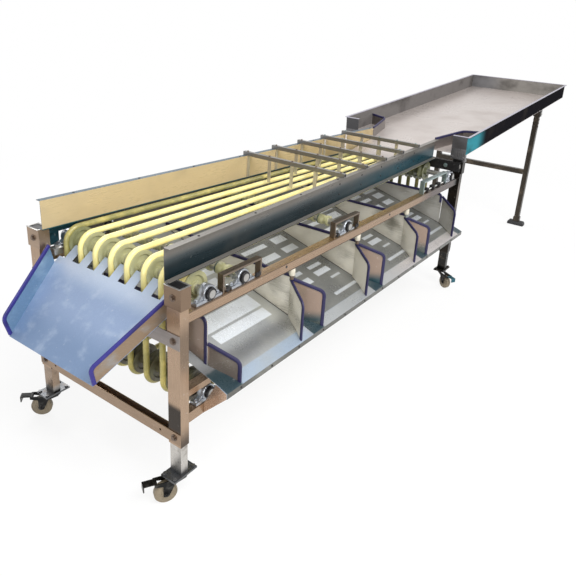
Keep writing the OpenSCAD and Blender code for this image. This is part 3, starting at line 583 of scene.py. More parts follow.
class Finishes:
    """All finishes of the machine, made once and kept by name."""

    sun_patch_soft = 3.0
    bay_soft = 0.006

    def __init__(self, place: Place) -> None:
        """Makes the materials.

        Args:
            place: the machine's setting out.
        """
        self.place = place
        self.made: dict[str, bpy.types.Material] = {}
        for one in (*self.frame_steels(), *self.sheet_steels(), *self.plastics()):
            self.made[one.name] = one.make()
            LOG.info("finish %s", one.name)

    def along(self, start: float, end: float) -> Span:
        """A share that comes in between two places along the machine, in millimetres."""
        return Span(Axis.X, self.place.at(start, 0.0, 0.0).x, self.place.at(end, 0.0, 0.0).x)

    def across(self, start: float, end: float) -> Span:
        """A share that comes in between two places across the machine, in millimetres."""
        return Span(Axis.Y, self.place.at(0.0, start, 0.0).y, self.place.at(0.0, end, 0.0).y)

    def up(self, start: float, end: float) -> Span:
        """A share that comes in between two heights, in millimetres."""
        return Span(Axis.Z, start * MM, end * MM)

    def sun_patch(self, lengthwise: Sequence[Span], ys: tuple[float, float], strength: float) -> Zone:
        """Gives a painted patch of sunlight on the chute floor.

        Args:
            lengthwise: the spans of its ends.
            ys: its edges across the machine in millimetres.
            strength: how far it covers the ground.

        Returns:
            The zone.
        """
        crosswise = band(self.across, *ys, self.sun_patch_soft)
        return Zone(srgb(240, 246, 254), (*lengthwise, *crosswise), strength)

    def sun_patches(self) -> list[Zone]:
        """Gives the painted patches of sunlight between the belts' shadows, in millimetres in the first chute
        and in shares of a chute in the others.

        Returns:
            The zones.
        """
        after_first = self.along(Frame.bay_x, Frame.bay_x + 4.0)
        first = (((160.0, 592.0), (-270.0, -190.0), 1.0), ((268.0, 585.0), (-334.0, -282.0), 0.85),
                 ((510.0, 595.0), (-10.0, 30.0), 0.85), ((490.0, 560.0), (-80.0, -35.0), 0.85))
        clear = (((0.30, 0.62), (2.0, 30.0)), ((0.38, 0.61), (-88.0, -48.0)), ((0.73, 0.91), (-7.0, 40.0)),
                 ((0.71, 0.90), (-83.0, -42.0)), ((0.48, 0.58), (-232.0, -210.0)),
                 ((0.69, 0.88), (-232.0, -211.0)), ((0.68, 0.89), (-286.0, -253.0)),
                 ((0.48, 0.575), (-300.0, -262.0)))
        faint = (((0.20, 0.55), (60.0, 110.0)), ((0.66, 0.93), (64.0, 112.0)),
                 ((0.78, 0.92), (-332.0, -319.0)), ((0.60, 0.95), (-420.0, -403.0)),
                 ((0.12, 0.44), (-410.0, -396.0)), ((0.1, 0.4), (-320.0, -306.0)))
        zones = [self.sun_patch(band(self.along, *xs, self.sun_patch_soft), ys, strength)
                 for xs, ys, strength in first]
        for group, strength in ((clear, 0.85), (faint, 0.6)):
            zones += [self.sun_patch((*band(in_bay, *xs, self.bay_soft), after_first), ys, strength)
                      for xs, ys in group]
        return zones

    def frame_steels(self) -> list[Steel]:
        """Gives the finishes of tubes, rails and plated hardware.

        Returns:
            The finishes.
        """
        tan, brown = srgb(180, 154, 130), srgb(104, 84, 66)
        # Painted shade: parts at the infeed end go near black.
        infeed_end_shade = Zone(srgb(26, 24, 22), (self.along(2340.0, 2400.0),), 0.97)
        far_grey = Zone(srgb(92, 84, 86), (self.along(1800.0, 2050.0),), 0.9)
        far_silver = Zone(srgb(156, 174, 174), (self.along(1600.0, 1800.0),))
        far_tan = Zone(srgb(170, 147, 126), (self.across(-10.0, 10.0),))
        # Painted highlight: a honey gleam on the rails' top faces.
        top_highlight = Zone(srgb(196, 164, 112), (TOP_FACE, self.along(400.0, 900.0)), 0.6)
        # Painted shade on the legs' near faces: dark low down, and darker in a band from 560 to 720 mm.
        foot = Zone(srgb(62, 56, 52), (self.up(335.0, 250.0), NEAR_FACE), 0.85)
        shade = Zone(srgb(116, 101, 87), (NEAR_FACE, *band(self.up, 560.0, 720.0, 50.0)), 0.7)
        # Painted shade on the near legs' end faces, from 300 to 410 mm.
        low_end = (END_FACE, *band(self.up, 300.0, 410.0, 14.0), self.across(-300.0, -320.0))
        end_face_shade = Zone(srgb(44, 40, 37), low_end, 0.95)
        blue_foot = Zone(srgb(80, 84, 90), (self.up(160.0, 120.0),), 0.9)
        tan_leg = Zone(srgb(158, 134, 112), (self.across(-10.0, 10.0), self.up(130.0, 160.0)), 0.9)
        # Painted shadow lines along the rails' near faces, at their lower and upper edges.
        edges = (Zone(srgb(66, 54, 45), (NEAR_FACE, *band(self.up, 719.5, 723.5, 1.0)), 0.85),
                 Zone(srgb(84, 70, 58), (NEAR_FACE, *band(self.up, 756.0, 760.5, 1.0)), 0.7))
        # Painted highlight on the near gussets, and painted shade on the lower rails' near faces.
        gusset_light_and_shade = (Zone(srgb(226, 202, 182), (self.across(-402.0, -404.0),)),
                  Zone(srgb(30, 27, 25), (NEAR_FACE, *band(self.up, 364.0, 430.0, 1.0))))
        return [
            Steel("frame_steel", tan, brown, Grain.ALONG_Z, roughness=0.3,
                  zones=(infeed_end_shade, foot, shade, end_face_shade)),
            Steel("rail_steel", srgb(172, 146, 122), brown, Grain.ALONG_X, roughness=0.28,
                  zones=(top_highlight, far_grey, infeed_end_shade, *edges, *gusset_light_and_shade)),
            Steel("bracket_steel", srgb(138, 116, 96), srgb(84, 70, 58), Grain.ALONG_Y, roughness=0.34,
                  zones=(far_tan, infeed_end_shade)),
            Steel("channel_steel", srgb(160, 136, 114), srgb(72, 58, 47), Grain.ALONG_Y, roughness=0.34,
                  smear_share=0.6, zones=(infeed_end_shade,)),
            Steel("adjuster_steel", srgb(126, 112, 98), srgb(84, 74, 64), Grain.ALONG_X, roughness=0.3,
                  zones=(far_silver,)),
            Steel("bolt_steel", srgb(122, 106, 94), srgb(70, 60, 54), Grain.ALONG_Y, roughness=0.36,
                  smear_scale=40.0, zones=(far_silver,)),
            Steel("corner_steel", srgb(112, 110, 112), srgb(66, 66, 70), Grain.ALONG_Z, roughness=0.3,
                  metallic=0.6, smear_share=0.7, smear_scale=12.0),
            Steel("bar_steel", srgb(136, 134, 132), srgb(94, 92, 90), Grain.ALONG_Y, roughness=0.34,
                  smear_scale=16.0),
            Steel("lane_steel", srgb(212, 208, 204), srgb(164, 158, 152), Grain.ALONG_Z, roughness=0.32,
                  smear_scale=16.0),
            # Painted shade: a dim grey plate that stands for the shaded chute floor seen between the far
            # belts.
            Steel("backing_shade_sheet", srgb(104, 101, 97), srgb(80, 77, 72), Grain.ALONG_X, roughness=0.5,
                  metallic=0.2, specular=0.2),
            Steel("support_steel", srgb(66, 60, 53), srgb(128, 114, 98), Grain.ALONG_Z, roughness=0.34,
                  smear_share=0.6, smear_scale=9.0),
            Steel("plate_steel", srgb(150, 142, 138), srgb(108, 106, 108), Grain.ALONG_Y, roughness=0.36),
            Steel("zinc", srgb(182, 180, 176), srgb(120, 116, 112), Grain.ALONG_Y, roughness=0.34,
                  smear_scale=22.0),
            Steel("leg_zinc", srgb(204, 200, 194), srgb(110, 98, 86), Grain.ALONG_Z, roughness=0.3,
                  smear_scale=30.0, smear_share=0.5, zones=(tan_leg, blue_foot, infeed_end_shade)),
            Steel("castor_zinc", srgb(34, 34, 34), srgb(112, 110, 106), Grain.ALONG_Z, roughness=0.34,
                  smear_scale=34.0, smear_share=0.5, wear=0.1, zones=(infeed_end_shade,)),
            Steel("cast_housing", srgb(176, 180, 186), srgb(78, 82, 88), Grain.ALONG_Y, roughness=0.3,
                  smear_scale=26.0, grain_depth=0.3),
            Steel("dark_steel", srgb(46, 45, 46), srgb(96, 92, 88), Grain.ALONG_Y, roughness=0.42,
                  metallic=0.7, smear_scale=18.0),
            Steel("teal_plate", srgb(52, 104, 118), srgb(36, 70, 82), Grain.ALONG_Y, roughness=0.34,
                  metallic=0.6, smear_scale=30.0),
        ]

    def guard_reflections_and_shade(self) -> tuple[Zone, ...]:
        """Gives the painted reflections and shade of the side guards: gold inside with a teal bottom strip,
        grey to teal outside.

        Returns:
            The zones.
        """
        return (
            Zone(srgb(200, 181, 143), (INSIDE,)),
            Zone(srgb(176, 156, 116), (INSIDE, self.along(1300.0, 2000.0)), 0.6),
            Zone(srgb(28, 84, 92), (INSIDE, self.up(872.0, 868.0))),
            Zone(srgb(66, 72, 74), (OUTSIDE, self.up(965.0, 930.0))),
            Zone(srgb(6, 26, 32), (OUTSIDE, self.up(945.0, 905.0))),
            Zone(srgb(20, 66, 78), (OUTSIDE, self.up(950.0, 910.0), self.along(900.0, 1900.0)), 0.75),
            Zone(srgb(70, 92, 108), (TOP_FACE, self.across(-10.0, 10.0)), 0.85),
        )

    def tray_reflections_and_shade(self) -> tuple[Zone, ...]:
        """Gives the painted reflections and shade of the feed tray's walls: black to teal outside, grey
        across the ends.

        Returns:
            The zones.
        """
        end = Span(Axis.FACE_X, -0.5, -0.9)
        return (
            Zone(srgb(24, 23, 27), (OUTSIDE,)),
            Zone(srgb(58, 134, 146), (OUTSIDE, self.along(2760.0, 2560.0))),
            Zone(srgb(150, 146, 141), (end,)),
            Zone(srgb(122, 122, 126), (end, self.across(60.0, 300.0)), 0.8),
            Zone(srgb(88, 87, 89), (end, self.along(2600.0, 2500.0))),
        )

    def chute_light_and_shade(self) -> tuple[Zone, ...]:
        """Gives the painted light and shade of the grade chutes' floor: shade and a paler band by the first
        divider, patches of sunlight, reflections on the lip, and shade on the ledge.

        Returns:
            The zones.
        """
        lip = self.across(-458.0, -464.0)
        return (
            Zone(srgb(110, 111, 108), (self.along(620.0, 680.0),), 0.85),
            Zone(srgb(186, 186, 178), band(self.along, 540.0, 640.0, 30.0), 0.6),
            Zone(srgb(84, 85, 88), (*band(self.across, -440.0, -372.0, 30.0), self.along(700.0, 560.0)), 0.6),
            *self.sun_patches(),
            # Painted reflections on the lip.
            Zone(srgb(164, 180, 198), (lip,)),
            Zone(srgb(166, 168, 168), (lip, self.along(600.0, 680.0)), 0.9),
            Zone(srgb(196, 190, 188), (lip, self.along(1200.0, 1700.0)), 0.9),
            # Painted shade by the lip at each chute's start and on the ledge's front face.
            Zone(srgb(50, 70, 77), (self.across(-400.0, -415.0), in_bay(0.17, 0.14))),
            Zone(srgb(88, 88, 83), (Span(Axis.FACE_Y, -0.6, -0.95), self.up(456.0, 450.0))),
        )

    def cheek_reflections_and_shade(self) -> tuple[Zone, ...]:
        """Gives the painted reflections and shade of the dividers and the outlet cheeks: greyer further
        along, tan splayed faces going teal low down, and darker by the discharge end.

        Returns:
            The zones.
        """
        splayed = (in_bay(0.55, 0.45), Span(Axis.FACE_X, -0.2, -0.5))
        return (
            Zone(srgb(150, 150, 150), (self.along(1500.0, 2200.0),), 0.7),
            Zone(srgb(146, 126, 112), splayed),
            Zone(srgb(38, 68, 76), (*splayed, self.up(530.0, 475.0))),
            Zone(srgb(104, 94, 87), (self.along(220.0, 200.0), self.across(-380.0, -388.0))),
        )

    def sheet_steels(self) -> list[Steel]:
        """Gives the finishes of the guards, the chutes and the feed tray.

        Returns:
            The finishes.
        """
        rim = (Zone(srgb(40, 39, 52), (OUTSIDE, self.across(-300.0, -400.0)), 0.95),)
        # Painted reflection: the end chute's walls go tan on their outer faces.
        wall_reflection = (Zone(srgb(146, 125, 102), (OUTSIDE,)),)
        # Painted reflection: the end chute's blue floor goes darker low down and paler high up.
        slope = (Zone(srgb(116, 138, 170), (self.up(660.0, 580.0),)),
                 Zone(srgb(178, 192, 213), (self.up(690.0, 740.0),)))
        return [
            Steel("guard_sheet", srgb(118, 114, 108), srgb(92, 86, 78), Grain.ALONG_X, roughness=0.3,
                  metallic=0.2, smear_share=0.2, specular=0.12, streak=0.13, wear=0.05, grain_depth=0.04,
                  zones=self.guard_reflections_and_shade()),
            # Painted shade: a large share of dark smears darkens the tray walls.
            Steel("tray_wall", srgb(122, 118, 116), srgb(48, 44, 41), Grain.ALONG_X, roughness=0.34,
                  metallic=0.0, smear_share=0.65, specular=0.0, wear=0.03, zones=self.tray_reflections_and_shade()),
            Steel("tray_floor", srgb(188, 179, 174), srgb(166, 155, 149), Grain.ALONG_X, roughness=0.3,
                  metallic=0.2, smear_share=0.7, smear_scale=4.0, streak=0.08, wear=0.03, grain_depth=0.03),
            Steel("tray_rim", srgb(176, 172, 186), srgb(110, 106, 126), Grain.ALONG_X, roughness=0.3,
                  metallic=0.3, smear_share=0.2, specular=0.15, zones=rim),
            Steel("chute_sheet", srgb(168, 171, 173), srgb(168, 168, 160), Grain.ALONG_Y, roughness=0.3,
                  metallic=0.25, smear_share=0.4, smear_scale=6.0, zones=self.chute_light_and_shade()),
            # Painted reflection: strong dark smears over the pale dividers stand for swirls of reflection.
            Steel("divider_sheet", srgb(232, 227, 213), srgb(112, 108, 96), Grain.ALONG_Y, roughness=0.24,
                  metallic=0.2, smear_share=0.9, streak=0.15, zones=self.cheek_reflections_and_shade()),
            Steel("discharge_sheet", srgb(140, 159, 190), srgb(190, 202, 219), Grain.ALONG_X, roughness=0.42,
                  metallic=0.3, smear_share=0.4, smear_scale=17.0, streak=0.2, zones=slope),
            Steel("discharge_wall", srgb(106, 136, 164), srgb(166, 190, 208), Grain.ALONG_X, roughness=0.36,
                  metallic=0.4, smear_share=0.5, smear_scale=8.0, zones=wall_reflection),
        ]

    def plastics(self) -> list[Moulded]:
        """Gives the finishes of belts, pulleys, edging, rubber and paint.

        Returns:
            The finishes.
        """
        far_lane, near_lane = Span(Axis.LANE, 2.9, 3.1), Span(Axis.LANE, -2.9, -3.1)
        # Painted shade on the belts: olive on the lower runs, under the far and near guards and at the infeed
        # end.
        belt_shade = (
            Zone(srgb(150, 140, 74), (self.up(840.0, 700.0),), 0.95),
            Zone(srgb(128, 124, 70), (far_lane,), 0.9),
            Zone(srgb(176, 166, 104), (near_lane,), 0.5),
            Zone(srgb(110, 112, 66), (self.along(2180.0, 2300.0),), 0.85),
        )
        # Painted shade on the pulleys: darker in the far lane, low down and at the infeed end.
        pulley_shade = (
            Zone(srgb(120, 122, 84), (far_lane,), 0.8),
            Zone(srgb(84, 78, 54), (self.up(600.0, 500.0),)),
            Zone(srgb(76, 80, 58), (self.along(2180.0, 2240.0),), 0.9),
        )
        edge = (Zone(srgb(38, 33, 116), (self.along(60.0, 20.0),)),)
        return [
            Moulded("belt_cord", srgb(242, 230, 160), srgb(232, 214, 126), roughness=0.34, subsurface=0.15,
                    coat=0.15, skin_depth=0.1, dust=0.05, zones=belt_shade),
            Moulded("cream_nylon", srgb(174, 172, 132), srgb(146, 147, 112), roughness=0.36, subsurface=0.2,
                    coat=0.1, zones=pulley_shade),
            Moulded("hub_nylon", srgb(84, 98, 90), srgb(60, 74, 70), roughness=0.4),
            Moulded("indigo_edge", srgb(28, 24, 68), srgb(23, 20, 58), roughness=0.5, dust=0.0, zones=edge),
            Moulded("black_rubber", srgb(36, 36, 38), srgb(22, 22, 24), roughness=0.6, dust=0.2),
            Moulded("tyre", srgb(128, 116, 96), srgb(92, 84, 70), roughness=0.5, dust=0.25),
            Moulded("grey_paint", srgb(118, 128, 138), srgb(98, 108, 118), roughness=0.4, coat=0.3),
            Moulded("spacer_nylon", srgb(206, 200, 184), srgb(180, 172, 150), roughness=0.42),
        ]

    def __getitem__(self, name: str) -> bpy.types.Material:
        """A finish by its name."""
        return self.made[name]


# Meshes


def angles(steps: int) -> list[float]:
    """The angles of equal steps round a circle."""
    return [2 * math.pi * k / steps for k in range(steps)]


def turned(radius: float, height: float, angle: float) -> Vector:
    """A point of a profile in metres, turned about the upright axis."""
    return Vector((radius * math.cos(angle), radius * math.sin(angle), height)) * MM


def scaled(profile: Profile, radius: float) -> Profile:
    """A profile from one whose radii are shares of a radius."""
    return [(share * radius, height) for share, height in profile]


class Form:
    """A mesh under construction. Points are in metres of the part, sizes in millimetres."""

    sharp = math.radians(25.0)
    squareness = 0.55
    washer: Profile = ((1.44, 0.0), (1.5, 0.09), (1.5, 0.24), (1.425, 0.3))
    hexagon: Profile = ((1.0, 0.3), (1.0, 0.85), (0.86, 1.0))
    thread: Profile = ((0.5, 1.0), (0.46, 1.35))

    def __init__(self) -> None:
        """Starts empty."""
        self.mesh = bmesh.new()

    def loft(self, rings: Sequence[Sequence[Vector]], round_again: bool = False) -> None:
        """Joins rings of equal count by faces and closes the ends.

        Args:
            rings: the rings in order.
            round_again: whether the last ring joins the first.
        """
        made = [[self.mesh.verts.new(p) for p in ring] for ring in rings]
        count = len(made[0])
        pairs = list(zip(made, made[1:])) + ([(made[-1], made[0])] if round_again else [])
        for one, two in pairs:
            for k in range(count):
                n = (k + 1) % count
                self.mesh.faces.new((one[k], one[n], two[n], two[k]))
        if not round_again:
            self.mesh.faces.new(list(reversed(made[0])))
            self.mesh.faces.new(made[-1])

    def revolve(self, profile: Profile, centre: Vector, axis: Vector, steps: int) -> None:
        """Turns an open profile about an axis and closes its ends.

        Args:
            profile: radii and heights from one end to the other.
            centre: the axis's start.
            axis: its direction.
            steps: faces round it.
        """
        turn = UP.rotation_difference(axis.normalized()).to_matrix()
        self.loft([[centre + turn @ turned(r, h, a) for a in angles(steps)] for r, h in profile])

    def ring(self, profile: Profile, centre: Vector, axis: Vector, steps: int) -> None:
        """Turns a closed profile, away from the axis, into a ring.

        Args:
            profile: radii and heights all round.
            centre: the axis's start.
            axis: its direction.
            steps: faces round it.
        """
        turn = UP.rotation_difference(axis.normalized()).to_matrix()
        self.loft([[centre + turn @ turned(r, h, a) for r, h in profile] for a in angles(steps)], True)

    def prism(self, outline: Sequence[Vector], depth: Vector, bevel: float = 0.0) -> None:
        """Extrudes a flat outline and softens its edges.

        Args:
            outline: the corners in order.
            depth: the way to the other face, in metres.
            bevel: the edges' radius.
        """
        part = bmesh.new()
        low = [part.verts.new(p) for p in outline]
        high = [part.verts.new(p + depth) for p in outline]
        part.faces.new(list(reversed(low)))
        part.faces.new(high)
        for k in range(len(low)):
            n = (k + 1) % len(low)
            part.faces.new((low[k], low[n], high[n], high[k]))
        bmesh.ops.recalc_face_normals(part, faces=part.faces)
        if bevel > 0.0:
            edges = [e for e in part.edges if e.calc_face_angle(0.0) > self.sharp]
            bmesh.ops.bevel(part, geom=edges, offset=bevel * MM, segments=2, profile=0.5, affect="EDGES",
                            clamp_overlap=True)
        held = bpy.data.meshes.new("held")
        part.to_mesh(held)
        part.free()
        self.mesh.from_mesh(held)
        bpy.data.meshes.remove(held)

    def box(self, low: Vector, high: Vector, bevel: float = 0.0) -> None:
        """Adds a box between two corners.

        Args:
            low, high: the corners.
            bevel: the edges' radius.
        """
        corners = [Vector((low.x, low.y, low.z)), Vector((high.x, low.y, low.z)),
                   Vector((high.x, high.y, low.z)), Vector((low.x, high.y, low.z))]
        self.prism(corners, Vector((0.0, 0.0, high.z - low.z)), bevel)

    def bolt(self, seat: Vector, axis: Vector, head: Head) -> None:
        """Adds a hexagon head with its washer and the end of its thread.

        Args:
            seat: where the washer lies.
            axis: the way out.
            head: the head's radius and height.
        """
        radius, height = head
        for shares, steps in ((self.washer, 24), (self.hexagon, 6), (self.thread, 16)):
            self.revolve([(radius * r, height * h) for r, h in shares], seat, axis, steps)

    def sweep(self, path: Sequence[Vector], normal: Vector, size: Range, steps: int = 14) -> None:
        """Runs a rounded strip along a flat path.

        Args:
            path: the points.
            normal: the direction across the path's plane.
            size: the strip's size in the plane and across it.
            steps: points round the strip.
        """
        def bent(value: float) -> float:
            """A sine drawn out towards a rounded oblong."""
            return math.copysign(abs(value) ** self.squareness, value)
        width, thick = (one / 2 * MM for one in size)
        rings = []
        for k, point in enumerate(path):
            before = path[max(k - 1, 0)]
            after = path[min(k + 1, len(path) - 1)]
            side = normal.cross((after - before).normalized()).normalized()
            rings.append([point + side * (width * bent(math.cos(a))) + normal * (thick * bent(math.sin(a)))
                          for a in angles(steps)])
        self.loft(rings)

    def done(self, name: str, material: bpy.types.Material) -> bpy.types.Mesh:
        """Gives the finished mesh, with normals outwards and sharp edges kept.

        Args:
            name: the mesh's name.
            material: its finish.

        Returns:
            The mesh.
        """
        bmesh.ops.recalc_face_normals(self.mesh, faces=self.mesh.faces)
        mesh = bpy.data.meshes.new(name)
        self.mesh.to_mesh(mesh)
        self.mesh.free()
        smooth(mesh)
        mesh.materials.append(material)
        return mesh


def smooth(mesh: bpy.types.Mesh, angle: float = 35.0) -> None:
    """Shades a mesh smooth up to an angle.

    Args:
        mesh: the mesh.
        angle: the sharpest smooth edge in degrees.
    """
    mesh.polygons.foreach_set("use_smooth", [True] * len(mesh.polygons))
    mesh.set_sharp_from_angle(angle=math.radians(angle))


def add_piece(name: str, mesh: bpy.types.Mesh, body: str, slot: str, *nodes: str) -> bpy.types.Object:
    """Puts a mesh in the scene on its body.

    Args:
        name: the piece's name.
        mesh: its mesh.
        body: the CAD body that it rides on.
        slot: the record's material slot; not used.
        nodes: CAD nodes that it stands for.

    Returns:
        The object.
    """
    made = bpy.data.objects.new(name, mesh)
    bpy.context.scene.collection.objects.link(made)
    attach(made, body)
    if nodes:
        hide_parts(*nodes)
    LOG.info("piece %s on %s, %d faces", name, body, len(mesh.polygons))
    return made


def rounded(corners: Sequence[Range], radius: float, steps: int = 8) -> list[Range]:
    """Rounds the inner corners of an open flat path.

    Args:
        corners: the path's points.
        radius: the radius at each inner corner.
        steps: points on each bend.

    Returns:
        The rounded path.
    """
    points = [Vector(c) for c in corners]
    path = [points[0]]
    for before, corner, after in zip(points, points[1:], points[2:]):
        way_in, way_out = (corner - before).normalized(), (after - corner).normalized()
        turn = way_in.angle(way_out)
        room = min((corner - before).length, (after - corner).length) * 0.45
        cut = min(radius * math.tan(turn / 2), room)
        start, end = corner - way_in * cut, corner + way_out * cut
        for k in range(steps + 1):
            t = k / steps
            path.append(start * (1 - t) ** 2 + corner * (2 * t * (1 - t)) + end * t ** 2)
    path.append(points[-1])
    return [(p.x, p.y) for p in path]


# Geometry Nodes


class NodeTree:
    """A Geometry Nodes tree with named inputs, made and used in this script."""

    def __init__(self, name: str, inputs: Sequence[tuple[str, str]]) -> None:
        """Starts a tree.

        Args:
            name: the tree's name.
            inputs: names and socket types of its sizes.
        """
        self.tree = bpy.data.node_groups.new(name, "GeometryNodeTree")
        face = self.tree.interface
        face.new_socket("Geometry", in_out="INPUT", socket_type="NodeSocketGeometry")
        self.keys = {label: face.new_socket(label, in_out="INPUT", socket_type=kind).identifier
                     for label, kind in inputs}
        face.new_socket("Geometry", in_out="OUTPUT", socket_type="NodeSocketGeometry")
        self.entry = self.tree.nodes.new("NodeGroupInput")
        self.exit = self.tree.nodes.new("NodeGroupOutput")

    def node(self, kind: str, settings: dict, sockets: dict) -> bpy.types.Node:
        """Makes a node of this tree, as make_node does."""
        return make_node(self.tree, kind, settings, sockets)

    def close(self, geometry: bpy.types.NodeSocket) -> None:
        """Ends the tree in real, finished faces.

        Args:
            geometry: what is shown.
        """
        real = self.node("GeometryNodeRealizeInstances", {}, {0: geometry})
        sockets = {0: real.outputs[0], "Material": self.entry.outputs["Finish"]}
        painted = self.node("GeometryNodeSetMaterial", {}, sockets)
        self.tree.links.new(painted.outputs[0], self.exit.inputs[0])

    def run(self, name: str, start: bpy.types.Mesh, values: dict) -> bpy.types.Mesh:
        """Runs the tree on a mesh.

        Args:
            name: the new mesh's name.
            start: the mesh that goes in.
            values: the inputs by name.

        Returns:
            The plain mesh that comes out.
        """
        holder = bpy.data.objects.new("holder", start)
        bpy.context.scene.collection.objects.link(holder)
        modifier = holder.modifiers.new("tree", "NODES")
        modifier.node_group = self.tree
        for label, value in values.items():
            modifier[self.keys[label]] = value
        bpy.context.view_layer.update()
        shown = holder.evaluated_get(bpy.context.evaluated_depsgraph_get())
        mesh = bpy.data.meshes.new_from_object(shown)
        mesh.name = name
        holder.modifiers.remove(modifier)
        bpy.data.objects.remove(holder)
        return mesh


class CordTree(NodeTree):
    """Sweeps a round cord along closed paths of edges."""

    def __init__(self) -> None:
        """Builds the tree."""
        super().__init__("round_cord", [("Radius", "NodeSocketFloat"), ("Sides", "NodeSocketInt"),
                                        ("Finish", "NodeSocketMaterial")])
        out = self.entry.outputs
        path = self.node("GeometryNodeMeshToCurve", {}, {0: out["Geometry"]})
        sizes = {"Resolution": out["Sides"], "Radius": out["Radius"]}
        section = self.node("GeometryNodeCurvePrimitiveCircle", {}, sizes)
        swept = self.node("GeometryNodeCurveToMesh", {}, {0: path.outputs[0], 1: section.outputs[0]})
        even = self.node("GeometryNodeSetShadeSmooth", {}, {0: swept.outputs[0]})
        self.close(even.outputs[0])


class SetOutTree(NodeTree):
    """Sets one small piece out on points, each turned by the points' own angles."""

    def __init__(self) -> None:
        """Builds the tree."""
        super().__init__("set_out", [("Piece", "NodeSocketObject"), ("Finish", "NodeSocketMaterial")])
        out = self.entry.outputs
        points = self.node("GeometryNodeMeshToPoints", {}, {0: out["Geometry"]})
        piece = self.node("GeometryNodeObjectInfo", {}, {"Object": out["Piece"]})
        turns = self.node("GeometryNodeInputNamedAttribute", {"data_type": "FLOAT_VECTOR"}, {"Name": "turn"})
        turn = self.node("FunctionNodeEulerToRotation", {}, {0: turns.outputs[0]})
        placed = self.node("GeometryNodeInstanceOnPoints", {}, {
            "Points": points.outputs[0], "Instance": piece.outputs["Geometry"], "Rotation": turn.outputs[0]})
        self.close(placed.outputs[0])

    def lay(self, name: str, piece: bpy.types.Mesh, seats: Sequence[Seat],
            finish: bpy.types.Material) -> bpy.types.Mesh:
        """Sets a piece out.

        Args:
            name: the new mesh's name.
            piece: the piece's mesh about its own seat, with its way out along +Z.
            seats: where it goes.
            finish: the material.

        Returns:
            The plain mesh.
        """
        spots = bpy.data.meshes.new("spots")
        spots.from_pydata([tuple(p) for p, _ in seats], [], [])
        turns = spots.attributes.new("turn", "FLOAT_VECTOR", "POINT")
        for k, (_, way) in enumerate(seats):
            turns.data[k].vector = UP.rotation_difference(way.normalized()).to_euler()
        held = bpy.data.objects.new("held", piece)
        bpy.context.scene.collection.objects.link(held)
        mesh = self.run(name, spots, {"Piece": held, "Finish": finish})
        bpy.data.objects.remove(held)
        smooth(mesh)
        return mesh


# Sub-assemblies


@dataclass(frozen=True)
class Block:
    """A box on one side of the centre line, in millimetres, with its edges' radius."""

    x: Range
    y: Range
    z: Range
    bevel: float


@dataclass
class Assembly:
    """What every sub-assembly is built with. Sizes are in millimetres."""

    place: Place
    finishes: Finishes
    set_out: SetOutTree

    def add_block(self, form: Form, block: Block, way: int = 1) -> None:
        """Adds a box to a mesh.

        Args:
            form: the mesh.
            block: the box.
            way: its side of the centre line, minus one for the near side.
        """
        x0, x1 = sorted(block.x)
        y0, y1 = sorted(way * y for y in block.y)
        form.box(self.place.at(x0, y0, block.z[0]), self.place.at(x1, y1, block.z[1]), block.bevel)

    def add(self, name: str, form: Form, finish: str, slot: str, *nodes: str, body: str = "machine",
            seats: Sequence[Seat] = ()) -> None:
        """Finishes a mesh and puts it in the scene.

        Args:
            name: the piece's name.
            form: its mesh, or a shape about its own seat with its way out along +Z.
            finish: its finish.
            slot: the record's material slot; passed on, not used.
            nodes: CAD nodes that it stands for.
            body: the CAD body that it rides on.
            seats: where the shape is set out, if it is one.
        """
        material = self.finishes[finish]
        mesh = form.done(f"{name}_one" if seats else name, material)
        if seats:
            mesh = self.set_out.lay(name, mesh, seats, material)
        add_piece(name, mesh, body, slot, *nodes)


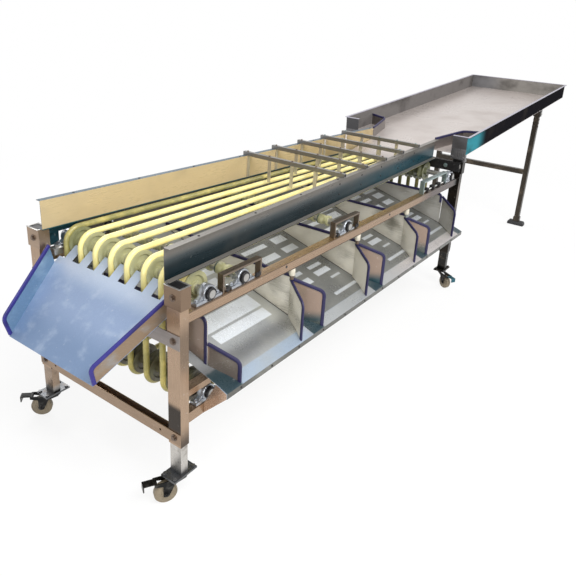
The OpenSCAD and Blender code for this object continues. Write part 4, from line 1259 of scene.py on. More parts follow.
@dataclass
class Belts(Assembly):
    """Eight round belts and the welds where their ends meet."""

    cord: CordTree
    count: int = 8
    radius: float = 12.0
    sides: int = 28
    bend_steps: int = 10
    weld_x: float = 520.0
    weld_pitch: float = 190.0
    weld_step: int = 3
    weld: Profile = ((0.9, -6.0), (1.02, -5.0), (1.045, -1.0), (1.045, 1.0), (1.02, 5.0), (0.9, 6.0))

    def side(self, k: int) -> float:
        """A belt's place from the middle, in belt spacings."""
        return k - (self.count - 1) / 2

    def point(self, k: int, x: float, z: float) -> Vector:
        """A point of a belt's middle line at a place along the machine and a height."""
        return self.place.at(x, self.side(k) * Frame.spread(x), z)

    def loop(self, k: int) -> list[Vector]:
        """Gives the middle line of one belt.

        Args:
            k: the belt's number.

        Returns:
            The points of the closed loop.
        """
        corners = [(Frame.infeed_x, Frame.shaft_z, 90.0), (Frame.infeed_x, Frame.low_shaft_z, 0.0),
                   (Frame.shaft_x, Frame.low_shaft_z, -90.0), (Frame.shaft_x, Frame.shaft_z, 180.0)]
        points = []
        for x, z, start in corners:
            for s in range(self.bend_steps + 1):
                a = math.radians(start - 90.0 * s / self.bend_steps)
                points.append(self.point(k, x + Frame.pitch_r * math.cos(a), z + Frame.pitch_r * math.sin(a)))
        return points

    def build(self) -> None:
        """Builds the belts and their welds."""
        verts: list[Vector] = []
        edges: list[tuple[int, int]] = []
        for k in range(self.count):
            loop = self.loop(k)
            first = len(verts)
            verts += loop
            edges += [(first + n, first + (n + 1) % len(loop)) for n in range(len(loop))]
        paths = bpy.data.meshes.new("belt_paths")
        paths.from_pydata([tuple(p) for p in verts], edges, [])
        sizes = {"Radius": self.radius * MM, "Sides": self.sides, "Finish": self.finishes["belt_cord"]}
        mesh = self.cord.run("belts", paths, sizes)
        flip_to_outside(mesh)
        add_piece("belts", mesh, "machine", "belt_pu", "belt_runs", "belt_bends")
        self.welds()

    def welds(self) -> None:
        """Builds the welds, one on each belt's upper run."""
        form = Form()
        form.ring(scaled(self.weld, self.radius), ORIGIN, UP, self.sides)
        seats: list[Seat] = []
        for k in range(self.count):
            x = self.weld_x + self.weld_pitch * ((k * self.weld_step) % self.count)
            ahead = self.point(k, x + self.weld_pitch, 0.0) - self.point(k, x, 0.0)
            seats.append((self.point(k, x, Frame.shaft_z + Frame.pitch_r), ahead))
        self.add("belt_welds", form, "belt_cord", "belt_pu", seats=seats)


def flip_to_outside(mesh: bpy.types.Mesh) -> None:
    """Turns a closed mesh's faces outwards.

    Args:
        mesh: the mesh.
    """
    work = bmesh.new()
    work.from_mesh(mesh)
    bmesh.ops.recalc_face_normals(work, faces=work.faces)
    work.to_mesh(mesh)
    work.free()


@dataclass
class Rollers(Assembly):
    """Hub collars of the six shafts and their locking rings."""

    belts: Belts
    hub_w: float = 50.0
    collar_w: float = 9.0
    collar_r: float = 23.0
    ring_y: float = 399.0
    ring_w: float = 8.0
    ring_r: float = 22.0
    ring_gap: float = 0.6
    grub: Profile = ((3.0, 0.0), (3.0, 2.5), (2.2, 3.0))
    grub_sunk: float = 0.985

    def collar(self, width: float, radius: float) -> Form:
        """Gives a collar with a grub screw, about the middle of its length.

        Args:
            width: its length.
            radius: its radius.

        Returns:
            The shape.
        """
        form = Form()
        half, bore = width / 2, Frame.shaft_r
        form.ring([(bore, -half), (radius * 0.95, -half), (radius, -half * 0.7), (radius, half * 0.7),
                   (radius * 0.95, half), (bore, half)], ORIGIN, UP, steps=28)
        form.revolve(self.grub, ALONG * (radius * self.grub_sunk * MM), ALONG, steps=10)
        return form

    def build(self) -> None:
        """Builds the collars and rings of every shaft."""
        start, end = Frame.wraps()
        shafts = (("discharge_roll", Frame.shaft_x, Frame.shaft_z, start),
                  ("return_roll", Frame.shaft_x, Frame.low_shaft_z, start),
                  ("idler_roll_a", Frame.idler_a_x, Frame.shaft_z, Frame.idler_a_x),
                  ("idler_roll_b", Frame.idler_b_x, Frame.shaft_z, Frame.idler_b_x),
                  ("infeed_roll", Frame.infeed_x, Frame.shaft_z, end),
                  ("drive_roll", Frame.infeed_x, Frame.low_shaft_z, end))
        beside = (self.hub_w + self.collar_w) / 2
        ring_y = self.ring_y + self.ring_w / 2 + self.ring_gap
        for body, x, z, wrap in shafts:
            hubs = [(self.place.at(x, self.belts.side(k) * Frame.spread(wrap) + beside, z), ACROSS)
                    for k in range(self.belts.count)]
            self.add(f"{body}_collars", self.collar(self.collar_w, self.collar_r), "hub_nylon", "cream_nylon",
                     body=body, seats=hubs)
            ends = [(self.place.at(x, way * ring_y, z), ACROSS * way) for way in BOTH]
            self.add(f"{body}_rings", self.collar(self.ring_w, self.ring_r), "dark_steel", "zinc",
                     body=body, seats=ends)


@dataclass
class Bearings(Assembly):
    """Pillow blocks with their webs, bolts and grease nipples."""

    radius: float = 31.0
    insert_r: float = 24.0
    width: float = 34.0
    length: float = 130.0
    height: float = 32.0
    base: float = 14.0
    base_bevel: float = 4.0
    web_share: float = 0.62
    web_bevel: float = 2.0
    head: Head = (7.5, 7.0)
    nipple: Profile = ((4.5, -2.0), (4.5, 3.0), (2.8, 3.5), (2.8, 7.0), (3.6, 8.0), (2.0, 10.5))
    nipple_way: Point = (-0.5, 0.0, 0.87)

    def housing(self) -> Form:
        """Gives one block about its shaft, with its feet towards -Z.

        Returns:
            The shape.
        """
        form = Form()
        half, reach, r, hole = self.width / 2, self.length / 2, self.radius, self.insert_r
        form.ring([(hole, -half), (r * 0.93, -half), (r, -half * 0.8), (r, half * 0.8), (r * 0.93, half),
                   (hole, half)], ORIGIN, ACROSS, steps=48)
        low, top = -self.height, self.base - self.height
        form.box(Vector((-reach, -half, low)) * MM, Vector((reach, half, top)) * MM, self.base_bevel)
        web = half * self.web_share
        outline = ((hole * 0.98, low * 0.9), (reach * 0.74, low * 0.9), (reach * 0.72, top * 0.96),
                   (r * 1.02, top * 0.3), (r * 0.86, r * 0.46))
        for way in BOTH:
            points = [Vector((way * u, -web, h)) * MM for u, h in outline]
            form.prism(points, ACROSS * (2 * web * MM), self.web_bevel)
            form.bolt(Vector((way * reach * 0.8, 0.0, top)) * MM, UP, self.head)
        lean = Vector(self.nipple_way).normalized()
        form.revolve(self.nipple, lean * (r * MM), lean, steps=12)
        return form

    def build(self) -> None:
        """Builds all pillow blocks."""
        rows = ((Frame.shaft_z, (Frame.shaft_x, Frame.idler_a_x, Frame.idler_b_x, Frame.infeed_x)),
                (Frame.low_shaft_z, (Frame.shaft_x, Frame.infeed_x)))
        seats = [(self.place.at(x, way * Frame.half_y, z), UP) for z, xs in rows for x in xs for way in BOTH]
        self.add("pillow_blocks", self.housing(), "cast_housing", "cast_housing", "bearing_housings",
                 seats=seats)


@dataclass
class FeedTray(Assembly):
    """Hardware of the feed tray and its support: corner boxes, washers, hinge pins, feet and plates."""

    x: float = 2405.0
    z: float = 914.0
    tilt: float = 3.8
    gate_z: float = 72.5
    hinge: Point = (4148.4, 404.0, 995.7)
    corner: tuple[Block, ...] = (Block((2402.5, 2404.6), (338.0, 433.0), (884.0, 1022.0), 0.6),
                                 Block((2404.6, 2428.0), (338.0, 433.0), (882.0, 913.4), 2.0),
                                 Block((2410.0, 2448.0), (412.0, 431.0), (868.0, 884.0), 3.0))
    corner_bolts: tuple[Point, ...] = ((2402.5, 350.0, 898.0), (2402.5, 420.0, 898.0))
    corner_head: Head = (5.0, 5.0)
    washer: Profile = ((26.5, 0.0), (28.0, 1.0), (28.0, 2.8), (26.5, 3.6))
    washer_drop: float = 33.0
    washer_lift: float = 3.4
    washer_head: Head = (9.5, 7.0)
    pin_y: float = 29.0
    pin_head: Head = (9.0, 6.0)
    foot_l: float = 140.0
    foot_w: float = 56.0
    foot_h: float = 36.0
    foot_bevel: float = 4.0
    foot_corner: Range = (0.86, 0.62)
    rib_count: int = 9
    rib_pitch: float = 15.0
    rib_half: float = 3.0
    rib_h: float = 2.0
    strap_half: float = 15.0
    strap_y: Range = (20.0, 20.6)
    strap_drops: Range = (140.0, 26.0)
    strap_bolts: tuple[float, ...] = (50.0, 80.0, 110.0)
    strap_head: Head = (6.0, 4.0)
    plate_half: float = 26.0
    plate_y: Range = (20.0, 26.0)
    plate_top: float = 76.0

    def corners(self) -> None:
        """Builds the boxes under the tray's front corners."""
        form = Form()
        for way in BOTH:
            for block in self.corner:
                self.add_block(form, block, way)
            for x, y, z in self.corner_bolts:
                form.bolt(self.place.at(x, way * y, z), ALONG * -1, self.corner_head)
        self.add("tray_corner_boxes", form, "corner_steel", "stainless")

    def leg_washers(self) -> None:
        """Builds the round washers and bolts at the tops of the infeed legs."""
        form = Form()
        out = ALONG * -1
        x = Frame.leg_pitch_x - Frame.leg_d / 2 - Frame.bracket_wall
        for way in BOTH:
            seat = self.place.at(x, way * Frame.half_y, Frame.deck_z - self.washer_drop)
            form.revolve(self.washer, seat, out, steps=40)
            form.bolt(seat + out * (self.washer_lift * MM), out, self.washer_head)
        self.add("leg_washers", form, "zinc", "zinc")

    def hinge_pins(self) -> None:
        """Builds the heads of the hinge pins."""
        x, y, z = self.hinge
        form = Form()
        for way in BOTH:
            for side in BOTH:
                form.bolt(self.place.at(x, way * y + side * self.pin_y, z), ACROSS * side, self.pin_head)
        self.add("hinge_pins", form, "zinc", "zinc")

    def feet(self) -> None:
        """Builds the feet of the support, with ribs under them."""
        x, y, _ = self.hinge
        form = Form()
        reach, half, high = self.foot_l / 2, self.foot_w / 2, self.foot_h
        inner, shoulder = reach * self.foot_corner[0], high * self.foot_corner[1]
        outline = ((-reach, 0.0), (reach, 0.0), (reach, shoulder), (inner, high), (-inner, high),
                   (-reach, shoulder))
        for way in BOTH:
            points = [self.place.at(x - half, way * y + u, h) for u, h in outline]
            form.prism(points, ALONG * (self.foot_w * MM), self.foot_bevel)
            for n in range(self.rib_count):
                middle = way * y + (n - (self.rib_count - 1) / 2) * self.rib_pitch
                across = (middle - self.rib_half, middle + self.rib_half)
                self.add_block(form, Block((x - half, x + half), across, (0.0, self.rib_h), bevel=0.5))
        self.add("foot_pads", form, "black_rubber", "black_rubber", "support_feet", body="support")

    def plates(self) -> None:
        """Builds the bolted straps and the foot plates of the support's legs."""
        x, y, z = self.hinge
        form = Form()
        heights = (z - self.strap_drops[0], z - self.strap_drops[1])
        for way in BOTH:
            for side in BOTH:
                near, far = (way * y + side * u for u in self.strap_y)
                strap = Block((x - self.strap_half, x + self.strap_half), (near, far), heights, bevel=0.2)
                self.add_block(form, strap)
                for drop in self.strap_bolts:
                    form.bolt(self.place.at(x, far, z - drop), ACROSS * side, self.strap_head)
                near, far = (way * y + side * u for u in self.plate_y)
                self.add_block(form, Block((x - self.plate_half, x + self.plate_half), (near, far),
                                           (self.foot_h, self.plate_top), bevel=2.0))
        self.add("support_plates", form, "support_steel", "stainless", body="support")

    def build(self) -> None:
        """Builds the tray's hardware."""
        self.corners()
        self.leg_washers()
        self.hinge_pins()
        self.feet()
        self.plates()


@dataclass
class Edging(Assembly):
    """Rounded indigo edging on the chute walls, dividers, cheeks and gates."""

    tray: FeedTray
    width: float = 15.0
    thick: float = 9.0
    corner_r: float = 30.0
    lift: float = 1.0
    mouth: Point = (-238.0, 237.0, 543.0)
    chute_half: float = 322.0
    wall_h: float = 72.0
    wall_cut: float = 30.0
    wall_lap: float = 36.0
    chute_tilt: float = 35.75
    divider_z: float = 686.0
    divider_rise: float = 40.0
    front_y: float = 376.0
    part_y: float = 379.0
    end_y: float = 180.0
    end_drop: float = 60.0
    end_gap: float = 2.0
    cheek_end_y: float = 505.0
    cheek_gap: float = 82.0
    cheek_inset: float = 4.0
    cheek_foot: float = 454.0
    cheek_h: float = 168.0
    end_foot: float = 454.1
    low_cheek_h: float = 90.0
    low_cheek_rise: float = 1.5
    ledge: Range = (511.0, 452.0)
    gate: tuple[Range, ...] = ((6.0, 222.8), (305.0, 290.0), (362.0, 424.0))
    gate_r: float = 60.0

    def strip(self, form: Form, start: Vector, along: Vector, path: Sequence[Range],
              upward: Vector = UP) -> None:
        """Adds one strip in a plane.

        Args:
            form: the mesh.
            start: the plane's zero.
            along: the plane's first direction.
            path: the strip's middle line, along and up.
            upward: the plane's other direction.
        """
        points = [start + along * (u * MM) + upward * (z * MM) for u, z in rounded(path, self.corner_r)]
        form.sweep(points, along.cross(upward).normalized(), (self.width, self.thick))

    def discharge(self, form: Form) -> None:
        """Adds the edging of the end chute's walls.

        Args:
            form: the mesh.
        """
        x0, half, z0 = self.mouth
        tilt = math.radians(self.chute_tilt)
        slope = Vector((math.cos(tilt), 0.0, math.sin(tilt)))
        square = Vector((-math.sin(tilt), 0.0, math.cos(tilt)))
        length = (Frame.leg_d / 2 - x0) / math.cos(tilt)
        turn = math.atan2(self.chute_half - half, length)
        h = self.width / 2
        lean = self.wall_cut / self.wall_h
        foot, top = h * math.hypot(1.0, lean), self.wall_h - h
        end = length / math.cos(turn) + self.wall_lap * top / self.wall_h
        path = [(foot + lean * self.lift, self.lift), (foot + lean * top, top), (end, top)]
        for way in BOTH:
            side = ACROSS * way
            along = slope * math.cos(turn) + side * math.sin(turn)
            outward = side * math.cos(turn) - slope * math.sin(turn)
            start = self.place.at(x0, way * half, z0) - outward * (Frame.sheet_t / 2 * MM)
            self.strip(form, start, along, path, square)

    def cheek(self, form: Form, x: float, shift: float, top0: float, top1: float) -> None:
        """Adds the edging of one outlet cheek.

        Args:
            form: the mesh.
            x: the place of its divider.
            shift: how far it splays along the machine.
            top0, top1: heights of its top at the divider and at the ledge.
        """
        run = self.cheek_end_y - self.part_y
        length = math.hypot(run, shift)
        (lip_y, lip_z), (ledge_y, ledge_z) = Frame.lip, self.ledge
        foot = lip_z - (lip_z - ledge_z) * (self.cheek_end_y - lip_y) / (ledge_y - lip_y)
        h = self.width / 2
        along = Vector((shift, -run, 0.0)) / length
        self.strip(form, self.place.at(x, -self.part_y, 0.0), along,
                   [(0.0, top0 - h), (length - h, top1 - h), (length - h, foot + self.lift)])

    def grades(self, form: Form) -> None:
        """Adds the edging of the dividers, the end walls and the cheeks.

        Args:
            form: the mesh.
        """
        h = self.width / 2
        toward = ACROSS * -1
        top, under = self.divider_z - h, self.divider_z - self.width
        back_y = Frame.floor_back[0]
        for x in Frame.dividers():
            self.strip(form, self.place.at(x, back_y, 0.0), toward,
                       [(0.0, top + self.divider_rise), (back_y, top), (back_y + self.front_y, top)])
            for way in BOTH:
                self.cheek(form, x + way * self.cheek_inset, way * (self.cheek_gap - self.cheek_inset), under,
                           self.cheek_foot + self.cheek_h)
        near = self.end_y + self.front_y - h
        feet = (Frame.floor_z(-self.front_y) + self.end_gap, self.divider_z - self.end_drop)
        for x, foot in zip(Frame.end_xs, feet):
            path = [(0.0, top), (near, top), (near, foot)]
            self.strip(form, self.place.at(x, self.end_y, 0.0), toward, path)
        first, last = Frame.end_xs
        self.cheek(form, last, -self.cheek_gap, under, self.end_foot + self.cheek_h)
        self.cheek(form, first, self.cheek_gap / 2, self.end_foot + self.low_cheek_rise * self.low_cheek_h,
                   self.end_foot + self.low_cheek_h)

    def gates(self, form: Form) -> None:
        """Adds the edging of the feed tray's funnel plates.

        Args:
            form: the mesh.
        """
        tilt = Matrix.Rotation(-math.radians(self.tray.tilt), 3, "Y")
        corner = self.place.at(self.tray.x, 0.0, self.tray.z)
        for way in BOTH:
            plan = rounded([(x, way * y) for x, y in self.gate], self.gate_r)
            points = [corner + tilt @ (Vector((x, y, self.tray.gate_z)) * MM) for x, y in plan]
            form.sweep(points, tilt @ UP, (self.thick, self.width))

    def build(self) -> None:
        """Builds all the edging."""
        form = Form()
        self.discharge(form)
        self.grades(form)
        self.gates(form)
        self.add("edging", form, "indigo_edge", "indigo_trim", "edge_trim")


@dataclass
class Adjusters(Assembly):
    """Threads, nuts and rollers of the adjuster frames, and the blocks of the take-up frames."""

    screw_r: float = 5.0
    screw_lift: float = 7.0
    idler_span: Range = (-101.0, -65.0)
    take_up_span: Range = (1915.0, 2233.0)
    thread_pitch: float = 2.5
    thread: Profile = ((0.9, -0.9), (1.12, 0.0), (0.9, 0.9))
    nut: Profile = ((7.2, 0.0), (8.5, 1.0), (8.5, 7.0), (7.2, 8.0))
    nut_insets: Range = (1.0, 9.0)
    roller: Profile = ((8.5, 0.0), (10.5, 1.5), (10.5, 4.0), (7.0, 5.0), (7.0, 7.0))
    roller_xs: tuple[float, ...] = (-86.0, 76.0, 90.0)
    roller_y: float = 13.0
    roller_lift: float = 13.0
    block_xs: tuple[float, ...] = (1975.0, 2060.0, 2145.0)
    block_half: Range = (14.0, 12.0)
    block_h: float = 24.0
    cap: Profile = ((9.5, 0.0), (9.5, 4.0), (6.0, 5.0))

    def build(self) -> None:
        """Builds the threads, nuts, rollers and blocks."""
        z = Frame.rail_top_z + self.screw_lift
        threads: list[Seat] = []
        nuts: list[Seat] = []
        first, last = self.idler_span
        spans = [(x + first, x + last) for x in (Frame.idler_a_x, Frame.idler_b_x)] + [self.take_up_span]
        for way in BOTH:
            y = way * Frame.half_y
            for start, end in spans:
                turns = int((end - start) / self.thread_pitch)
                threads += [(self.place.at(start + self.thread_pitch * (k + 0.5), y, z), ALONG)
                            for k in range(turns)]
                ends = (start + self.nut_insets[0], end - self.nut_insets[1])
                nuts += [(self.place.at(x, y, z), ALONG) for x in ends]
        ridge = Form()
        ridge.ring(scaled(self.thread, self.screw_r), ORIGIN, UP, steps=10)
        self.add("adjuster_threads", ridge, "zinc", "zinc", seats=threads)
        nut = Form()
        nut.revolve(self.nut, ORIGIN, UP, steps=6)
        self.add("adjuster_nuts", nut, "dark_steel", "zinc", seats=nuts)
        self.rollers()

    def rollers(self) -> None:
        """Builds the rollers and blocks that the sliding bearings run on."""
        form = Form()
        top = Frame.rail_top_z
        half_x, half_y = self.block_half
        for way in BOTH:
            y = Frame.half_y
            for centre in (Frame.idler_a_x, Frame.idler_b_x):
                for u in self.roller_xs:
                    seat = self.place.at(centre + u, way * (y + self.roller_y), top + self.roller_lift)
                    form.revolve(self.roller, seat, ACROSS * way, steps=20)
            for x in self.block_xs:
                self.add_block(form, Block((x - half_x, x + half_x), (y - half_y, y + half_y),
                                           (top, top + self.block_h), bevel=2.0), way)
                seat = self.place.at(x, way * (y + half_y), top + self.roller_lift)
                form.revolve(self.cap, seat, ACROSS * way, steps=20)
        self.add("slide_rollers", form, "dark_steel", "zinc")


@dataclass
class Hardware(Assembly):
    """Rivets, spacer sleeves, floor seams, far plates, sleeve tops and rail plugs."""

    guard_half: float = 331.0
    guard_angle: float = 2.58
    crossbar_x: float = 1148.0
    crossbar_pitch: float = 229.0
    crossbar_count: int = 5
    rivet: Profile = ((4.8, 0.0), (4.5, 1.2), (3.4, 2.2), (1.6, 2.8))
    guard_rivet_y: float = 2.002
    guard_rivet_zs: Range = (900.0, 950.0)
    flange_rivet_xs: range = range(140, 2400, 320)
    flange_rivet: Range = (14.0, 118.0)
    floor_rivet_x: float = 12.0
    floor_rivet_ys: tuple[float, ...] = (-40.0, 120.0, 280.0)
    ledge_rivet_xs: range = range(180, 2330, 180)
    ledge_rivet: Range = (-511.0, 441.0)
    spacer: Range = (-12.5, -391.0)
    spacer_foot: float = 689.0
    spacer_gap: float = 1.0
    spacer_rs: Point = (9.1, 11.8, 12.8)
    spacer_edge: float = 1.5
    seam_plan: tuple[Range, ...] = ((-3.0, 340.0), (-3.0, -378.0), (-52.0, -456.0))
    seam_lift: float = 0.6
    seam: Range = (3.5, 1.4)
    backing_y: Range = (358.3, 359.7)
    backing_z: Range = (702.0, 858.0)
    backing_hem: float = 6.0
    backing_inset: float = 30.0
    shaft_gap: float = 25.0
    over_shaft: float = 5.0
    far_plate: tuple[Block, ...] = (Block((30.0, 196.0), (374.0, 376.0), (827.0, 862.0), 0.6),
                                    Block((30.0, 104.0), (405.0, 407.0), (762.0, 862.0), 0.6))
    far_bolts: tuple[Point, ...] = ((50.0, 374.0, 845.0), (176.0, 374.0, 845.0))
    far_head: Head = (6.0, 4.0)
    clip: tuple[Block, ...] = (Block((32.0, 70.0), (332.0, 356.0), (748.0, 772.0), 2.0),
                               Block((30.0, 74.0), (330.0, 357.0), (772.0, 776.0), 1.0))
    clip_bolt: Point = (52.0, 344.0, 776.0)
    clip_head: Head = (7.0, 6.0)
    rim_inset: float = 1.0
    rim_h: float = 1.4
    hollow_h: float = 0.4
    plugs: tuple[Point, ...] = ((577.0, -400.0, 746.0), (1480.0, -400.0, 746.0))
    plug: Profile = ((6.2, 0.0), (6.0, 0.6), (4.0, 0.9))

    def guard_y(self, x: float) -> float:
        """The guard's distance from the centre line."""
        return self.guard_half - x * math.tan(math.radians(self.guard_angle))

    def build(self) -> None:
        """Builds all the small hardware."""
        self.rivets()
        self.spacers()
        self.seams()
        self.backing()
        self.far_fittings()
        self.sleeve_tops()
        self.rail_plugs()

    def rivets(self) -> None:
        """Builds the rivets of the guards, the chute floor and the ledge."""
        form = Form()
        form.revolve(self.rivet, ORIGIN, UP, steps=14)
        seats: list[Seat] = []
        turn = math.radians(self.guard_angle)
        out_y, up_z = self.flange_rivet
        for way in BOTH:
            out = Vector((math.sin(turn), way * math.cos(turn), 0.0))
            for k in range(self.crossbar_count):
                x = self.crossbar_x + k * self.crossbar_pitch
                y = way * (self.guard_y(x) + self.guard_rivet_y)
                seats += [(self.place.at(x, y, z), out) for z in self.guard_rivet_zs]
            seats += [(self.place.at(x, way * (self.guard_y(x) + out_y), Frame.deck_z + up_z), UP)
                      for x in self.flange_rivet_xs]
        for x in (Frame.end_xs[0], *Frame.dividers(), Frame.end_xs[1]):
            seats += [(self.place.at(x + self.floor_rivet_x, y, Frame.floor_z(y)), Frame.floor_normal())
                      for y in self.floor_rivet_ys]
        seats += [(self.place.at(x, *self.ledge_rivet), ACROSS * -1) for x in self.ledge_rivet_xs]
        self.add("rivets", form, "dark_steel", "zinc", seats=seats)

    def spacers(self) -> None:
        """Builds the sleeves of the divider spacers."""
        form = Form()
        low, high = self.spacer_foot, Frame.rail_top_z - Frame.rail_h - self.spacer_gap
        (bore, rim, full), edge = self.spacer_rs, self.spacer_edge
        profile = [(bore, low), (rim, low), (full, low + edge), (full, high - edge), (rim, high),
                   (bore, high)]
        for x in Frame.dividers():
            form.ring(profile, self.place.at(x + self.spacer[0], self.spacer[1], 0.0), UP, steps=28)
        self.add("spacer_sleeves", form, "spacer_nylon", "cream_nylon")

    def seams(self) -> None:
        """Builds the sealed seams between the chute floor and the dividers."""
        form = Form()
        for x in (*Frame.dividers(), Frame.end_xs[1]):
            path = [self.place.at(x + u, y, Frame.floor_z(y) + self.seam_lift) for u, y in self.seam_plan]
            form.sweep(path, Frame.floor_normal(), self.seam, steps=8)
        self.add("floor_seams", form, "dark_steel", "zinc")

    def backing(self) -> None:
        """Builds the folded plate behind the far belts, open at the idler shafts; its dim grey is painted
        shade.
        """
        form = Form()
        (near, far), (low, high) = self.backing_y, self.backing_z
        start, end = Frame.shaft_x + self.backing_inset, Frame.infeed_x - self.backing_inset
        sides = [x + way * self.shaft_gap for x in (Frame.idler_a_x, Frame.idler_b_x) for way in BOTH]
        stops = [start, *sides, end]
        over = Frame.shaft_z + Frame.shaft_r + self.over_shaft
        for span in zip(stops[::2], stops[1::2]):
            self.add_block(form, Block(span, self.backing_y, (low, over), bevel=0.5))
        self.add_block(form, Block((start, end), self.backing_y, (over, high), bevel=0.5))
        hem = (near - self.backing_hem, near)
        self.add_block(form, Block((start, end), hem, (high - far + near, high), bevel=0.5))
        self.add("far_backing", form, "backing_shade_sheet", "bright_sheet")

    def far_fittings(self) -> None:
        """Builds the plates at the far bracket and the clip at the far chute wall."""
        plate = Form()
        for block in self.far_plate:
            self.add_block(plate, block)
        for spot in self.far_bolts:
            plate.bolt(self.place.at(*spot), ACROSS * -1, self.far_head)
        self.add("far_plate", plate, "teal_plate", "bright_sheet")
        clip = Form()
        for block in self.clip:
            self.add_block(clip, block)
        clip.bolt(self.place.at(*self.clip_bolt), UP, self.clip_head)
        self.add("far_clip", clip, "zinc", "zinc")

    def sleeve_tops(self) -> None:
        """Builds the bright rims on the discharge legs' sleeves, and dark plates in their hollows as painted
        shade.
        """
        rims, hollow_shade = Form(), Form()
        wide, deep, rim = Frame.leg_d / 2, Frame.leg_w / 2, Frame.bracket_wall - self.rim_inset
        tall = (Frame.deck_z, Frame.deck_z + self.rim_h)
        flat = (Frame.deck_z, Frame.deck_z + self.hollow_h)
        for way in BOTH:
            y = way * Frame.half_y
            self.add_block(hollow_shade, Block((-wide, wide), (y - deep, y + deep), flat, bevel=0.1))
            for end in BOTH:
                across = (y - deep - rim, y + deep + rim)
                self.add_block(rims, Block((end * wide, end * (wide + rim)), across, tall, bevel=0.4))
                across = (y + end * deep, y + end * (deep + rim))
                self.add_block(rims, Block((-wide, wide), across, tall, bevel=0.4))
        self.add("sleeve_rims", rims, "zinc", "zinc")
        # Painted shade: dark plates over the sleeves' hollows.
        self.add("sleeve_hollows", hollow_shade, "dark_steel", "zinc")

    def rail_plugs(self) -> None:
        """Builds the plugs in the near rail."""
        form = Form()
        for spot in self.plugs:
            form.revolve(self.plug, self.place.at(*spot), ACROSS * -1, steps=20)
        self.add("rail_plugs", form, "black_rubber", "black_rubber")


@dataclass
class Castors(Assembly):
    """Races, axle nuts, hub discs and pedal ribs of the castors."""

    trail: float = 52.0
    wheel_r: float = 43.0
    half_w: float = 16.5
    cheek_t: float = 3.0
    race_z: float = 99.5
    race: Profile = ((26.2, 2.0), (30.0, 3.0), (31.0, 6.0), (30.0, 9.0), (26.2, 10.0))
    axle_head: Head = (7.5, 6.0)
    pin: Profile = ((4.5, 0.0), (4.5, 1.2), (3.0, 2.0))
    disc: Profile = ((17.5, 11.5), (35.5, 11.5), (36.0, 12.4), (34.5, 13.4), (19.0, 13.4), (17.5, 12.8))
    stud: Profile = ((2.2, 13.2), (2.2, 14.0), (1.4, 14.4))
    stud_count: int = 6
    stud_r: float = 27.0
    pedal: Range = (88.0, 92.0)
    pedal_top: float = 98.0
    rib_count: int = 7
    rib_start: float = 8.0
    rib_pitch: float = 5.0
    rib_half: Range = (1.2, 13.0)
    rib_h: float = 1.6
    teal_pedal: int = 3
    turns: tuple[float, ...] = (-30.0, -45.0, 60.0, 180.0)

    def build(self) -> None:
        """Builds the four castors' hardware."""
        legs = [(x, way * Frame.half_y) for x in (0.0, Frame.leg_pitch_x) for way in BOTH]
        for k, ((x, y), degrees) in enumerate(zip(legs, self.turns), 1):
            turn = Matrix.Rotation(math.radians(degrees), 3, "Z")
            base = self.place.at(x, y, 0.0)
            self.fork(k, base, turn)
            self.wheel(k, base, turn)
            self.tread(k, base, turn)

    def axle(self, base: Vector, turn: Matrix) -> Vector:
        """The middle of a castor's axle."""
        return base + turn @ Vector((-self.trail, 0.0, self.wheel_r)) * MM

    def fork(self, k: int, base: Vector, turn: Matrix) -> None:
        """Builds the race, the axle nuts and the pedal pin's ends of one fork.

        Args:
            k: the castor's number.
            base: the swivel axis on the floor.
            turn: the castor's turn.
        """
        form = Form()
        form.ring(self.race, base + UP * (self.race_z * MM), UP, steps=40)
        axle = self.axle(base, turn)
        pin = base + turn @ Vector((-self.pedal[0], 0.0, self.pedal[1])) * MM
        for way in BOTH:
            out = turn @ ACROSS * way
            shift = out * ((self.half_w + self.cheek_t) * MM)
            form.bolt(axle + shift, out, self.axle_head)
            form.revolve(self.pin, pin + shift, out, steps=14)
        self.add(f"castor_race_{k}", form, "castor_zinc", "zinc", body=f"fork_{k}")

    def wheel(self, k: int, base: Vector, turn: Matrix) -> None:
        """Builds the hub discs of one wheel.

        Args:
            k: the castor's number.
            base: the swivel axis on the floor.
            turn: the castor's turn.
        """
        form = Form()
        axle = self.axle(base, turn)
        for way in BOTH:
            out = turn @ ACROSS * way
            form.ring(self.disc, axle, out, steps=40)
            for a in angles(self.stud_count):
                spoke = (turn @ ALONG) * math.cos(a) + UP * math.sin(a)
                form.revolve(self.stud, axle + spoke * (self.stud_r * MM), out, steps=10)
        self.add(f"wheel_disc_{k}", form, "tyre", "zinc", body=f"wheel_{k}")

    def tread(self, k: int, base: Vector, turn: Matrix) -> None:
        """Builds the ribbed top of one brake pedal.

        Args:
            k: the castor's number.
            base: the swivel axis on the floor.
            turn: the castor's turn.
        """
        form = Form()
        u, v = self.rib_half
        for n in range(self.rib_count):
            x = -(self.pedal[0] + self.rib_start + self.rib_pitch * n)
            corners = ((x - u, -v), (x + u, -v), (x + u, v), (x - u, v))
            outline = [base + turn @ Vector((*corner, self.pedal_top)) * MM for corner in corners]
            form.prism(outline, UP * (self.rib_h * MM), bevel=0.5)
        finish = "teal_plate" if k == self.teal_pedal else "castor_zinc"
        self.add(f"pedal_ribs_{k}", form, finish, "zinc", body=f"pedal_{k}")


